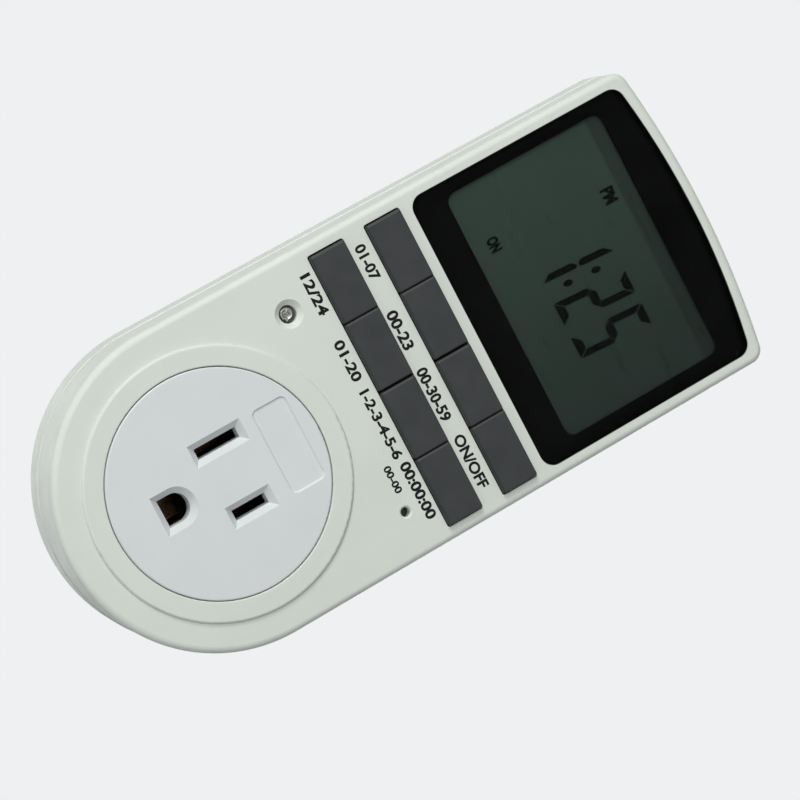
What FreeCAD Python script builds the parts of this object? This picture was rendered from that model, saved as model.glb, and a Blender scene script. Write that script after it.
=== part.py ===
import FreeCAD, Part
import math
import os
import re
import Sketcher
from FreeCAD import Placement, Rotation, Vector

# A plug-in timer: a wedge-shaped casing that plugs into a wall outlet, with a switched outlet, eight keys and
# a liquid crystal display on its sloped front.
#
# World frame: +Z up the wall toward the display, +Y into the wall, +X to the right seen from the front. The
# origin lies in the flat back, midway between the two line blades of the plug.
#
# Two local frames carry the pieces. In the "back" frame x is +X, y is +Z and z is the height above the flat
# back. In the "face" frame the origin is the centre of the socket disc on the sloped front, y runs up the
# face and z stands out of it, so a depth below the face is a negative z.

SIZES = {
    # The wedge
    "front_slope": 3.7,
    "depth_at_disc": 26.0,
    "rear_depth": 10.4,
    "half_width": 29.8,
    "head_margin": 1.8,
    "head_radius": 170.0,
    "corner_radius": 2.8,
    "front_rounding": 1.2,
    "rim_rounding": 0.3,
    "rear_rounding": 2.0,
    "rear_step": 0.2,
    "front_wall": 2.2,
    "side_wall": 2.0,
    "rear_wall": 2.4,
    "lip_height": 1.5,
    "lip_gap": 0.1,
    "lip_thick": 0.65,
    "slide_gap": 0.15,
    "rest_gap": 0.1,
    "thread_gap": 0.05,
    # The outlet and the plug, after the standard grounded 15 A pattern
    "blade_pitch": 12.7,
    "ground_drop": 11.9,
    "blade_thick": 1.5,
    "line_width": 6.35,
    "neutral_width": 7.9,
    "blade_reach": 17.5,
    "blade_taper": 1.3,
    "blade_eye": 1.6,
    "blade_eye_from_tip": 5.8,
    "pin_radius": 2.4,
    "pin_reach": 20.6,
    "pin_collar": 0.2,
    "pin_root_rise": 0.3,
    "slot_rise": 3.16,
    "disc_margin": 9.3,
    "disc_gap": 0.15,
    "disc_proud": 0.6,
    "disc_rounding": 0.3,
    "disc_flange": 1.7,
    "disc_flange_thick": 1.2,
    "funnel_inset": 1.15,
    "funnel_depth": 1.4,
    "slot_rim": 4.3,
    "line_rim": 9.0,
    "neutral_rim": 10.7,
    "ground_rim": 3.8,
    "ground_flat": 3.6,
    "plateau_band": 4.06,
    "plateau_proud": 0.6,
    "plateau_rounding": 0.55,
    "plateau_rim": 0.25,
    "label_width": 16.6,
    "label_height": 7.0,
    "label_from_rim": 6.3,
    "label_depth": 0.3,
    "label_bevel": 0.3,
    "label_corner": 1.2,
    # The display
    "bezel_margin": 2.27,
    "bezel_rise": 5.8,
    "bezel_radius": 145.0,
    "bezel_corner": 2.7,
    "bezel_recess": 1.8,
    "bezel_gap": 0.12,
    "lens_thick": 1.4,
    "mask_thick": 0.3,
    "window_side": 2.84,
    "window_foot": 6.95,
    "window_tall": 33.5,
    "window_head": 7.5,
    "window_corner": 2.0,
    "panel_margin_x": 0.7,
    "panel_margin_y": 0.6,
    "panel_thick": 2.4,
    "panel_gap": 0.3,
    "opening_gap": 0.4,
    "frame_thick": 1.0,
    "frame_foot": 1.5,
    "frame_head": 1.2,
    "holder_wall": 1.3,
    "connector_width": 1.8,
    # The keys
    "key_gap": 0.12,
    "key_middle_gap": 0.35,
    "key_end_gap": 0.3,
    "key_corner": 0.4,
    "key_window_corner": 0.5,
    "upper_keys": 48.65,
    "row_pitch": 11.8,
    "key_margin": 2.4,
    "window_rows": 7.5,
    "key_proud": 1.1,
    "key_rounding": 0.5,
    "key_flange": 0.65,
    "key_flange_thick": 0.9,
    "key_stem": 1.25,
    "key_travel": 0.8,
    "stem_gap": 0.2,
    "mat_sheet": 0.8,
    "mat_inset": 0.8,
    "mat_margin": 1.0,
    "mat_dome_low": 3.4,
    "mat_dome_high": 2.3,
    "mat_dome_height": 1.0,
    # Lamp and reset
    "lamp_inset": 9.75,
    "lamp_drop": 11.35,
    "lamp_radius": 1.5,
    "lamp_sink": 0.2,
    "lamp_foot": 5.2,
    "lamp_rim_thick": 0.8,
    "lamp_rim_wide": 0.4,
    "lamp_leg_end": 0.6,
    "dimple_radius": 2.65,
    "dimple_depth": 1.0,
    "lead_in": 0.3,
    "lamp_leg_pitch": 2.0,
    "lamp_leg_radius": 0.25,
    "reset_inset": 8.75,
    "reset_drop": 9.35,
    "pinhole_radius": 0.9,
    "reset_body": 6.0,
    "reset_height": 2.6,
    "reset_floor": 0.4,
    "plunger_radius": 1.7,
    "plunger_proud": 0.9,
    "reset_travel": 0.3,
    # Boards
    "board_thick": 1.6,
    "control_depth": 6.0,
    "control_margin": 1.6,
    "control_foot": 2.2,
    "control_head": 1.2,
    "power_height": 4.0,
    "power_low": 25.0,
    "power_margin": 2.7,
    "power_head": 9.0,
    "parts_inset": 3.0,
    # Screws and bosses
    "boss_radius": 2.5,
    "head_boss_inset": 6.0,
    "head_boss_drop": 9.0,
    "foot_boss_inset": 4.24,
    "foot_boss_turn": 39.45,
    "screw_radius": 1.45,
    "screw_head": 2.5,
    "screw_head_thick": 2.0,
    "screw_length": 10.0,
    "sink_height": 5.2,
    "sink_gap": 0.2,
    "pillar_wall": 1.0,
    "pillar_floor": 1.8,
    "small_screw": 1.0,
    "small_head": 1.9,
    "small_head_thick": 1.1,
    "cross_half": 0.25,
    "cross_reach": 0.6,
    "cross_floor": 0.45,
    "screw_bite": 2.6,
    "screw_end_gap": 0.5,
    "post_radius": 2.1,
    "power_post_radius": 2.5,
    "post_inset": 3.6,
    "post_rise": 2.5,
    "post_drop": 8.35,
    "power_screw_inset": 3.0,
    "post_lower_across": 12.0,
    # Contact carrier, contacts and clamp
    "carrier_inset": 1.54,
    "carrier_back": 16.0,
    "carrier_room": 1.0,
    "ear_inset": 3.3,
    "ear_depth": 6.0,
    "ear_thick": 2.5,
    "pocket_width": 5.6,
    "pocket_gap": 0.4,
    "strip_thick": 0.6,
    "jaw_half": 0.75,
    "jaw_flare": 0.7,
    "pin_grip": 0.5,
    "contact_half": 2.2,
    "contact_front": 4.6,
    "contact_pinch": 7.4,
    "contact_root": 12.0,
    "contact_back": 15.6,
    "contact_height": 6.0,
    "ground_contact_height": 5.5,
    "ground_contact_half": 3.5,
    "lug_low": 2.0,
    "lug_high": 4.1,
    "lug_neck": 3.3,
    "lug_reach": 2.5,
    "head_thick": 2.2,
    "head_shoulder": 1.8,
    "tab_half": 1.6,
    "tab_top": 8.0,
    "strap_gap": 0.45,
    "clamp_half": 14.5,
    "clamp_low": -19.0,
    "clamp_high": 8.0,
    "clamp_thick": 1.8,
    "clamp_screw_across": 11.6,
    "clamp_screw_up": -11.0,
    "lead_radius": 0.85,
    "lead_height": 7.5,
    "lead_bend": 1.4,
    "lead_landing": 3.0,
    # Relay
    "relay_gap": 2.5,
    "relay_low": 31.0,
    "relay_length": 18.5,
    "relay_width": 12.5,
    "relay_tall": 8.8,
    "contact_gap": 0.42,
    "button_radius": 0.9,
    "button_rise": 0.5,
    "fixed_rise": 0.35,
    "relay_wall": 0.6,
    "relay_floor": 1.2,
    "coil_radius": 2.8,
    "core_radius": 1.25,
    "bobbin_radius": 3.0,
    "spool_flange": 0.6,
    "spool_tube_thick": 0.5,
    "iron_thick": 0.8,
    "iron_short": 0.4,
    "coil_inset": 0.5,
    "yoke_inset": 0.8,
    "yoke_length": 10.8,
    "core_gap": 0.4,
    "hinge_gap": 0.06,
    "spool_end_gap": 1.0,
    "contact_clear": 2.0,
    "contact_rise": 5.4,
    "armature_half": 1.2,
    "fixed_thick": 0.4,
    "fixed_half": 1.1,
    "coil_gap": 0.05,
    # Other parts of the power board
    "dropper_low": 32.0,
    "dropper_length": 18.0,
    "dropper_width": 12.0,
    "dropper_height": 8.0,
    "smoother_gap": 0.3,
    "smoother_inset": 27.5,
    "smoother_radius": 4.0,
    "smoother_length": 12.0,
    "fuse_gap": 2.9,
    "fuse_radius": 2.6,
    "fuse_length": 20.0,
    "fuse_lift": 0.8,
    "fuse_inset": 0.5,
    "clip_inset": 1.2,
    "clip_width": 4.0,
    "clip_wall": 0.5,
    "clip_rise": 0.6,
    "clip_lip": 0.2,
    "absorber_gap": 2.6,
    "absorber_inset": 26.5,
    "absorber_thick": 3.5,
    "absorber_radius": 3.8,
    "diode_gap": 3.9,
    "diode_pitch": 4.5,
    "diode_inset": 2.5,
    "diode_radius": 1.35,
    "diode_length": 5.2,
    "resistor_gap": 3.6,
    "resistor_pitch": 12.0,
    "resistor_radius": 2.2,
    "resistor_length": 9.0,
    # Parts of the control board
    "cell_radius": 5.8,
    "cell_thick": 5.2,
    "cell_inset": 13.6,
    "cell_rise": 18.0,
    "tab_thick": 0.3,
    "cell_tab_half": 1.5,
    "cell_tab_past": 1.5,
    "cell_tab_bite": 2.0,
    "blob_radius": 6.0,
    "blob_rise": 1.5,
    "blob_edge_thick": 0.6,
    "blob_slope": 1.6,
    "blob_across": -8.0,
    "blob_up": 10.0,
    "crystal_radius": 1.0,
    "crystal_length": 6.0,
    "crystal_across": -3.0,
    "crystal_up": 24.0,
    "chip_across": -20.0,
    "chip_drop": 2.0,
    "chip_pitch": 3.2,
    "chip_length": 1.6,
    "chip_width": 0.8,
    "chip_thick": 0.5,
    # The ribbon between the boards and the plate on the back
    "ribbon_half": 4.0,
    "ribbon_rise": 14.0,
    "ribbon_thick": 0.6,
    "ribbon_bow": 1.5,
    "rear_label_inset": 10.2,
    "rear_label_low": 34.0,
    "rear_label_high": 56.0,
}

doc = FreeCAD.newDocument("plug_in_timer")
sheet = doc.addObject("Spreadsheet::Sheet", "Sizes")
for number, (alias, value) in enumerate(SIZES.items(), start=1):
    sheet.set("A%d" % number, alias)
    sheet.set("B%d" % number, str(value))
    sheet.setAlias("B%d" % number, alias)
doc.recompute()

NODES = []

# Heights of the two local frames' references, written once.
DISC_UP = "(-slot_rise * cos(front_slope))"

# Places that follow from the sizes: what stands by a wall keeps its distance from that wall. The display, its
# bezel and the head of the casing keep their distances above the keys. Each part of the power board keeps its
# distance above the one below it.
TIES = {
    "disc_radius": "half_width - disc_margin",
    "plateau_radius": "disc_radius + plateau_band",
    "label_rise": "disc_radius - label_from_rim",
    "ground_room": "ground_rim + pocket_gap",
    "carrier_radius": "disc_radius - carrier_inset",
    "ear_across": "half_width - side_wall - ear_inset",
    "key_windows_half": "half_width - key_margin",
    "key_half": "(key_windows_half - key_end_gap - key_gap - key_middle_gap / 2) / 4",
    "key_near": "key_middle_gap / 2 + key_half",
    "key_far": "key_near + 2 * key_half + key_gap",
    "lower_keys": "upper_keys - row_pitch",
    "lamp_across": "-half_width + lamp_inset",
    "lamp_up": "lower_keys - lamp_drop",
    "reset_across": "half_width - reset_inset",
    "reset_up": "lower_keys - reset_drop",
    "bezel_half": "half_width - bezel_margin",
    "bezel_low": "upper_keys + bezel_rise",
    "window_half": "bezel_half - window_side",
    "window_low": "bezel_low + window_foot",
    "window_high": "window_low + window_tall",
    "bezel_high": "window_high + window_head",
    "head_height": "bezel_high + head_margin",
    "head_boss_across": "half_width - head_boss_inset",
    "head_boss_up": "head_height - head_boss_drop",
    "foot_boss_across": "(half_width - foot_boss_inset) * sin(foot_boss_turn)",
    "foot_boss_up": DISC_UP + " - (half_width - foot_boss_inset) * cos(foot_boss_turn)",
    "control_half": "half_width - side_wall - control_margin",
    "control_low": "lamp_up - control_foot",
    "control_high": "window_high + control_head",
    "post_upper_across": "half_width - side_wall - post_inset",
    "post_upper_up": "bezel_low + post_rise",
    "post_lower_up": "lower_keys - post_drop",
    "cell_across": "control_half - cell_inset",
    "cell_up": "window_low + cell_rise",
    "power_half": "half_width - side_wall - power_margin",
    "power_high": "head_boss_up - power_head",
    "power_screw_across": "power_half - power_screw_inset",
    "power_screw_low": "power_low + power_screw_inset",
    "power_screw_high": "power_high - power_screw_inset",
    "parts_left": "-power_half + parts_inset",
    "relay_left": "parts_left + dropper_length + relay_gap",
    "rear_label_half": "half_width - rear_label_inset",
    "fuse_up": "dropper_low + dropper_width + fuse_gap + fuse_radius",
    "diode_low": "fuse_up + fuse_radius + diode_gap",
    "resistor_up": "diode_low + diode_length + resistor_gap + resistor_radius",
    "absorber_up": "relay_low + relay_width + absorber_gap + absorber_radius",
    "smoother_up": "absorber_up + absorber_radius + smoother_gap + smoother_radius",
    "ribbon_up": "window_low + ribbon_rise",
}


def face_height(up):
    """Height of the sloped face above the back, at a place given in the back frame."""
    return "(depth_at_disc - ((%s) - %s) * tan(front_slope))" % (up, DISC_UP)


def spelled(word):
    """One word of a formula: a size becomes its cell, and a tied place is written out in sizes."""
    if word in TIES:
        return "(%s)" % named(TIES[word])
    if word in SIZES:
        return "Sizes." + word
    return word


def named(formula):
    """Turn a formula of size names into an expression on the sheet's cells."""
    return re.sub(r"[a-z_]+", lambda found: spelled(found.group(0)), str(formula))


def bind(thing, prop, formula):
    thing.setExpression(prop, named(formula))


reader = doc.addObject("App::FeaturePython", "Reader")
reader.addProperty("App::PropertyFloat", "Value")


def size_of(formula):
    """The number that a formula comes to, for the first drawing of an outline."""
    bind(reader, "Value", formula)
    reader.recompute()
    return reader.Value


def place(thing, frame, x=0, y=0, z=0, turn=None):
    """Stand a thing in the face frame or the back frame, with its own origin at x, y, z there."""
    bind(thing, "Placement.Base.x", x)
    if frame == "face":
        tilt = 90 - SIZES["front_slope"]
        bind(thing, "Placement.Base.y",
             "-depth_at_disc + (%s) * sin(front_slope) - (%s) * cos(front_slope)" % (y, z))
        bind(thing, "Placement.Base.z",
             "%s + (%s) * cos(front_slope) + (%s) * sin(front_slope)" % (DISC_UP, y, z))
    else:
        tilt = 90
        bind(thing, "Placement.Base.y", "-(%s)" % z)
        bind(thing, "Placement.Base.z", y)
    rotation = Rotation(Vector(1, 0, 0), tilt)
    if turn is not None:
        rotation = rotation * turn
    thing.Placement = Placement(thing.Placement.Base, rotation)
    if frame == "face" and turn is None:
        bind(thing, "Placement.Rotation.Angle", "90 - front_slope")
    return thing


ALONG_X = Rotation(Vector(0, 1, 0), 90)
ALONG_Y = Rotation(Vector(1, 0, 0), -90)


def box(name, frame, x, y, z):
    """A block between the given low and high bounds along the three axes of its frame."""
    thing = doc.addObject("Part::Box", name)
    bind(thing, "Length", "(%s) - (%s)" % (x[1], x[0]))
    bind(thing, "Width", "(%s) - (%s)" % (y[1], y[0]))
    bind(thing, "Height", "(%s) - (%s)" % (z[1], z[0]))
    return place(thing, frame, x[0], y[0], z[0])


def rod(name, frame, x, y, z, radius):
    """A round bar. The axis is the one whose place is given as a pair of bounds."""
    thing = doc.addObject("Part::Cylinder", name)
    bind(thing, "Radius", radius)
    if isinstance(x, tuple):
        bind(thing, "Height", "(%s) - (%s)" % (x[1], x[0]))
        return place(thing, frame, x[0], y, z, ALONG_X)
    if isinstance(y, tuple):
        bind(thing, "Height", "(%s) - (%s)" % (y[1], y[0]))
        return place(thing, frame, x, y[0], z, ALONG_Y)
    bind(thing, "Height", "(%s) - (%s)" % (z[1], z[0]))
    return place(thing, frame, x, y, z[0])


def cone(name, frame, x, y, z, low_radius, high_radius):
    thing = doc.addObject("Part::Cone", name)
    bind(thing, "Radius1", low_radius)
    bind(thing, "Radius2", high_radius)
    bind(thing, "Height", "(%s) - (%s)" % (z[1], z[0]))
    return place(thing, frame, x, y, z[0])


def ball(name, frame, x, y, z, radius):
    thing = doc.addObject("Part::Sphere", name)
    bind(thing, "Radius", radius)
    return place(thing, frame, x, y, z)


def fuse(name, *parts):
    thing = doc.addObject("Part::MultiFuse", name)
    thing.Shapes = list(parts)
    thing.Refine = True
    return thing


def cut(name, base, *tools):
    tool = tools[0]
    if len(tools) > 1:
        tool = fuse(name + "_tools", *tools)
        tool.Refine = False
    thing = doc.addObject("Part::Cut", name)
    thing.Base = base
    thing.Tool = tool
    thing.Refine = True
    return thing


def group(name, *parts):
    thing = doc.addObject("Part::Compound", name)
    thing.Links = list(parts)
    return thing


def node(thing, label):
    """Name a finished piece of the timer."""
    thing.Label = label
    NODES.append(thing)
    return thing


def body(name, frame, x=0, y=0, z=0):
    return place(doc.addObject("PartDesign::Body", name), frame, x, y, z)


def sketch(owner, name, role="XY_Plane", lift=0):
    """A sketch on one of the body's own planes, lifted off it by a distance."""
    thing = owner.newObject("Sketcher::SketchObject", name)
    plane = [f for f in owner.Origin.OriginFeatures if f.Role == role][0]
    thing.AttachmentSupport = [(plane, "")]
    thing.MapMode = "FlatFace"
    bind(thing, "AttachmentOffset.Base.z", lift)
    return thing


def drawn_size(drawing, kind, spots):
    """The size that a dimension has in the sketch as first drawn."""
    if kind == "Radius":
        return drawing.Geometry[spots[0]].Radius
    point = drawing.getPoint(spots[2], spots[3])
    return point.x if kind == "DistanceX" else point.y


def fix(drawing, name, kind, *spots, size):
    """A dimension in a sketch, bound to a formula."""
    number = drawing.addConstraint(Sketcher.Constraint(kind, *spots, drawn_size(drawing, kind, spots)))
    drawing.renameConstraint(number, name)
    bind(drawing, "Constraints." + name, size)


def pin_point(drawing, name, curve, end, x, y):
    fix(drawing, name + "_x", "DistanceX", -1, 1, curve, end, size=x)
    fix(drawing, name + "_y", "DistanceY", -1, 1, curve, end, size=y)


def polygon(drawing, corners):
    """A closed outline through corners whose coordinates are formulas."""
    first = drawing.GeometryCount
    count = len(corners)
    for number in range(count):
        drawing.addGeometry(Part.LineSegment(Vector(number, number * number, 0),
                                             Vector(number + 1, (number + 1) ** 2, 0)), False)
    for number in range(count):
        following = first + (number + 1) % count
        drawing.addConstraint(Sketcher.Constraint("Coincident", first + number, 2, following, 1))
    for number, (x, y) in enumerate(corners):
        pin_point(drawing, "p%d" % (first + number), first + number, 1, x, y)


def rectangle(drawing, x, y):
    polygon(drawing, [(x[0], y[0]), (x[1], y[0]), (x[1], y[1]), (x[0], y[1])])


def circle(drawing, x, y, radius):
    number = drawing.addGeometry(Part.Circle(Vector(1, 1, 0), Vector(0, 0, 1), 1.0), False)
    pin_point(drawing, "c%d" % number, number, 3, x, y)
    fix(drawing, "r%d" % number, "Radius", number, size=radius)


def rounded(drawing, half, low, high, bend):
    """A rectangle astride the middle line whose corners are round."""
    left, right = "-(%s)" % half, "%s" % half
    run_x = ("%s + %s" % (left, bend), "%s - %s" % (right, bend))
    run_y = ("%s + %s" % (low, bend), "%s - %s" % (high, bend))
    runs = [((run_x[0], low), (run_x[1], low)), ((right, run_y[0]), (right, run_y[1])),
            ((run_x[1], high), (run_x[0], high)), ((left, run_y[1]), (left, run_y[0]))]
    centres = [(run_x[1], run_y[0]), (run_x[1], run_y[1]), (run_x[0], run_y[1]), (run_x[0], run_y[0])]
    for number, (start, end) in enumerate(runs):
        line = Part.LineSegment(*[Vector(size_of(x), size_of(y), 0) for x, y in (start, end)])
        drawing.addGeometry(line, False)
        x, y = centres[number]
        turn = Part.Circle(Vector(size_of(x), size_of(y), 0), Vector(0, 0, 1), size_of(bend))
        first_angle = (number - 1) * math.pi / 2
        drawing.addGeometry(Part.ArcOfCircle(turn, first_angle, first_angle + math.pi / 2), False)
    for number, (start, end) in enumerate(runs):
        line = 2 * number
        following = (line + 2) % (2 * len(runs))
        drawing.addConstraint(Sketcher.Constraint("Coincident", line, 2, line + 1, 1))
        drawing.addConstraint(Sketcher.Constraint("Coincident", line + 1, 2, following, 1))
        pin_point(drawing, "start_%d" % number, line, 1, *start)
        pin_point(drawing, "end_%d" % number, line, 2, *end)
        fix(drawing, "centre_%d" % number, "DistanceX", -1, 1, line + 1, 3, size=centres[number][0])


def barrel(drawing, half, low, high, radius):
    """An outline with a flat foot, straight sides and a shallow arc for a head."""
    bottom, right, head, left = range(drawing.GeometryCount, drawing.GeometryCount + 4)
    side = size_of(half)
    foot = size_of(low)
    bend = size_of(radius)
    middle = size_of(high) - bend
    turn = math.asin(side / bend)
    shoulder = middle + bend * math.cos(turn)
    head_circle = Part.Circle(Vector(0, middle, 0), Vector(0, 0, 1), bend)
    drawing.addGeometry(Part.LineSegment(Vector(-side, foot, 0), Vector(side, foot, 0)), False)
    drawing.addGeometry(Part.LineSegment(Vector(side, foot, 0), Vector(side, shoulder, 0)), False)
    drawing.addGeometry(Part.ArcOfCircle(head_circle, math.pi / 2 - turn, math.pi / 2 + turn), False)
    drawing.addGeometry(Part.LineSegment(Vector(-side, shoulder, 0), Vector(-side, foot, 0)), False)
    drawing.addConstraint(Sketcher.Constraint("Coincident", bottom, 2, right, 1))
    drawing.addConstraint(Sketcher.Constraint("Coincident", right, 2, head, 1))
    drawing.addConstraint(Sketcher.Constraint("Coincident", head, 2, left, 1))
    drawing.addConstraint(Sketcher.Constraint("Coincident", left, 2, bottom, 1))
    drawing.addConstraint(Sketcher.Constraint("Vertical", right))
    drawing.addConstraint(Sketcher.Constraint("Vertical", left))
    pin_point(drawing, "foot_left", bottom, 1, "-(%s)" % half, low)
    pin_point(drawing, "foot_right", bottom, 2, half, low)
    pin_point(drawing, "head_centre", head, 3, 0, "(%s) - (%s)" % (high, radius))
    fix(drawing, "head_radius", "Radius", head, size=radius)


def casing_outline(drawing, inset):
    """Half-round foot about the disc, straight sides and a shallow arc for a head, drawn in by an inset."""
    half = size_of("half_width")
    up = size_of(DISC_UP)
    head_radius = size_of("head_radius")
    middle = up + size_of("head_height") - head_radius
    turn = math.asin(half / head_radius)
    side = middle + head_radius * math.cos(turn)
    foot_circle = Part.Circle(Vector(0, up, 0), Vector(0, 0, 1), half)
    head_circle = Part.Circle(Vector(0, middle, 0), Vector(0, 0, 1), head_radius)
    drawing.addGeometry(Part.ArcOfCircle(foot_circle, math.pi, 2 * math.pi), False)
    drawing.addGeometry(Part.LineSegment(Vector(half, up, 0), Vector(half, side, 0)), False)
    drawing.addGeometry(Part.ArcOfCircle(head_circle, math.pi / 2 - turn, math.pi / 2 + turn), False)
    drawing.addGeometry(Part.LineSegment(Vector(-half, side, 0), Vector(-half, up, 0)), False)
    drawing.addConstraint(Sketcher.Constraint("Coincident", 0, 2, 1, 1))
    drawing.addConstraint(Sketcher.Constraint("Coincident", 1, 2, 2, 1))
    drawing.addConstraint(Sketcher.Constraint("Coincident", 2, 2, 3, 1))
    drawing.addConstraint(Sketcher.Constraint("Coincident", 3, 2, 0, 1))
    drawing.addConstraint(Sketcher.Constraint("Vertical", 1))
    drawing.addConstraint(Sketcher.Constraint("Vertical", 3))
    pin_point(drawing, "foot_left", 0, 1, "-half_width + (%s)" % inset, DISC_UP)
    pin_point(drawing, "foot_right", 0, 2, "half_width - (%s)" % inset, DISC_UP)
    fix(drawing, "foot_centre", "DistanceY", -1, 1, 0, 3, size=DISC_UP)
    pin_point(drawing, "head_centre", 2, 3, 0, "%s + head_height - head_radius" % DISC_UP)
    fix(drawing, "head_bend", "Radius", 2, size="head_radius - (%s)" % inset)


def pad(owner, drawing, name, length, both=False):
    thing = owner.newObject("PartDesign::Pad", name)
    thing.Profile = drawing
    bind(thing, "Length", length)
    thing.Midplane = both
    return thing


def pocket(owner, drawing, name, depth, taper=None):
    """A pocket that sinks below its sketch."""
    thing = owner.newObject("PartDesign::Pocket", name)
    thing.Profile = drawing
    bind(thing, "Length", depth)
    if taper is not None:
        bind(thing, "TaperAngle", taper)
    return thing


def soften(owner, base, name, radius, wanted):
    """Round the edges of a feature that the test picks."""
    doc.recompute()
    edges = ["Edge%d" % n for n, edge in enumerate(base.Shape.Edges, start=1) if wanted(edge)]
    thing = owner.newObject("PartDesign::Fillet", name)
    thing.Base = (base, edges)
    bind(thing, "Radius", radius)
    return thing


def soften_solid(base, name, radius, wanted):
    """Round the edges of a plain solid that the test picks."""
    doc.recompute()
    thing = doc.addObject("Part::Fillet", name)
    thing.Base = base
    size = SIZES[radius]
    thing.Edges = [(n, size, size) for n, edge in enumerate(base.Shape.Edges, start=1) if wanted(edge)]
    return thing


def runs_along_z(edge):
    first = edge.Vertexes[0].Point
    last = edge.Vertexes[-1].Point
    return abs(last.z - first.z) > 0.1 and abs(last.x - first.x) + abs(last.y - first.y) < 0.001


def level(height):
    """A test for edges that lie at one height of a body."""
    return lambda edge: all(abs(v.Point.z - height) < 0.001 for v in edge.Vertexes)


def casing_prism(name, inset, z, corner):
    """A prism of the casing's outline in the back frame, between two heights."""
    owner = body(name, "back", 0, 0, z[0])
    drawing = sketch(owner, name + "_outline")
    casing_outline(drawing, inset)
    block = pad(owner, drawing, name + "_block", "(%s) - (%s)" % (z[1], z[0]))
    up = size_of("head_height") / 2
    soften(owner, block, name + "_corners", corner,
           lambda edge: runs_along_z(edge) and edge.CenterOfMass.y > up)
    return owner


def bezel_plate(name, z, shrink):
    """A plate of the bezel's outline in the face frame, drawn in all round by a gap."""
    owner = body(name, "face", 0, 0, z[0])
    drawing = sketch(owner, name + "_outline")
    barrel(drawing, "bezel_half - (%s)" % shrink, "bezel_low + (%s)" % shrink,
           "bezel_high - (%s)" % shrink, "bezel_radius - (%s)" % shrink)
    plate = pad(owner, drawing, name + "_plate", "(%s) - (%s)" % (z[1], z[0]))
    soften(owner, plate, name + "_corners", "bezel_corner - (%s)" % shrink, runs_along_z)
    return owner


def screw(name, frame, x, y, head, radius, head_radius, head_thick, length, points_up):
    """A pan-head screw with a cross recess. Its head sits on the plane at height head."""
    sign = 1 if points_up else -1
    shank = ("%s" % head, "(%s) + (%s)" % (head, length))
    cap = ("(%s) - (%s)" % (head, head_thick), "%s" % head)
    bite = ("(%s) - (%s) - 1" % (head, head_thick), "(%s) - cross_floor * (%s)" % (head, head_thick))
    if sign < 0:
        shank = ("(%s) - (%s)" % (head, length), "%s" % head)
        cap = ("%s" % head, "(%s) + (%s)" % (head, head_thick))
        bite = ("(%s) + cross_floor * (%s)" % (head, head_thick), "(%s) + (%s) + 1" % (head, head_thick))
    stem = rod(name + "_stem", frame, x, y, shank, radius)
    crown = rod(name + "_crown", frame, x, y, cap, head_radius)
    reach = "cross_reach * (%s)" % head_radius
    across = box(name + "_across", frame, ("(%s) - %s" % (x, reach), "(%s) + %s" % (x, reach)),
                 ("(%s) - cross_half" % y, "(%s) + cross_half" % y), bite)
    along = box(name + "_along", frame, ("(%s) - cross_half" % x, "(%s) + cross_half" % x),
                ("(%s) - %s" % (y, reach), "(%s) + %s" % (y, reach)), bite)
    return cut(name, fuse(name + "_blank", stem, crown), across, along)


# Front casing: a wedge-shaped shell, open at the parting plane. Its side walls run square to the back, as the
# mould draws them, and its front wall slopes.
tall = "depth_at_disc + 12"
outer_block = casing_prism("outer_block", 0, ("rear_depth", tall), "corner_radius")
beyond_sides = ("-2 * half_width", "2 * half_width")
beyond_ends = ("-2 * half_width", "2 * head_height")
above_face = box("above_face", "face", beyond_sides, beyond_ends, (0, "2 * depth_at_disc"))
outer_wedge = cut("outer_wedge", outer_block, above_face)


def on_face(edge):
    """Edges that lie in the sloped face."""
    to_face = above_face.Placement.inverse()
    return all(abs(to_face.multVec(corner.Point).z) < 0.001 for corner in edge.Vertexes)


def at_parting(edge):
    """Edges that lie in the parting plane."""
    return all(abs(corner.Point.y + SIZES["rear_depth"]) < 0.001 for corner in edge.Vertexes)


outer_face_round = soften_solid(outer_wedge, "outer_face_round", "front_rounding", on_face)
outer_wedge_round = soften_solid(outer_face_round, "outer_wedge_round", "rim_rounding", at_parting)
inner_block = casing_prism("inner_block", "side_wall", ("rear_depth - 1", tall),
                           "corner_radius - side_wall")
above_ceiling = box("above_ceiling", "face", beyond_sides, beyond_ends, ("-front_wall", "2 * depth_at_disc"))
cavity = cut("front_cavity", inner_block, above_ceiling)
shell = cut("front_shell", outer_wedge_round, cavity)

plateau = rod("plateau_blank", "face", 0, 0, ("-front_wall / 2", "plateau_proud"), "plateau_radius")
disc_hole = rod("disc_hole", "face", 0, 0, ("-front_wall - 1", "plateau_proud + 1"),
                "disc_radius + disc_gap")
plateau_ring = cut("plateau_ring", plateau, disc_hole)


def on_plateau(edge):
    """Edges that lie in the top of the plateau."""
    to_face = above_face.Placement.inverse()
    heights = [to_face.multVec(corner.Point).z for corner in edge.Vertexes]
    return all(abs(height - SIZES["plateau_proud"]) < 0.001 for height in heights)


def outer_of_plateau(edge):
    """The plateau's outer top edge."""
    middle = size_of("disc_radius") + SIZES["plateau_band"] / 2
    return on_plateau(edge) and edge.Curve.Radius > middle


def inner_of_plateau(edge):
    """The plateau's top edge round the disc."""
    return on_plateau(edge) and not outer_of_plateau(edge)


plateau_outside = soften_solid(plateau_ring, "plateau_outside", "plateau_rounding", outer_of_plateau)
plateau_top = soften_solid(plateau_outside, "plateau", "plateau_rim", inner_of_plateau)
window_frame = box("window_frame", "face", ("-half_width + side_wall / 2", "half_width - side_wall / 2"),
                   ("post_upper_up + frame_foot", "head_height - side_wall - frame_head"),
                   ("-front_wall - frame_thick", "-front_wall / 2"))

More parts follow.
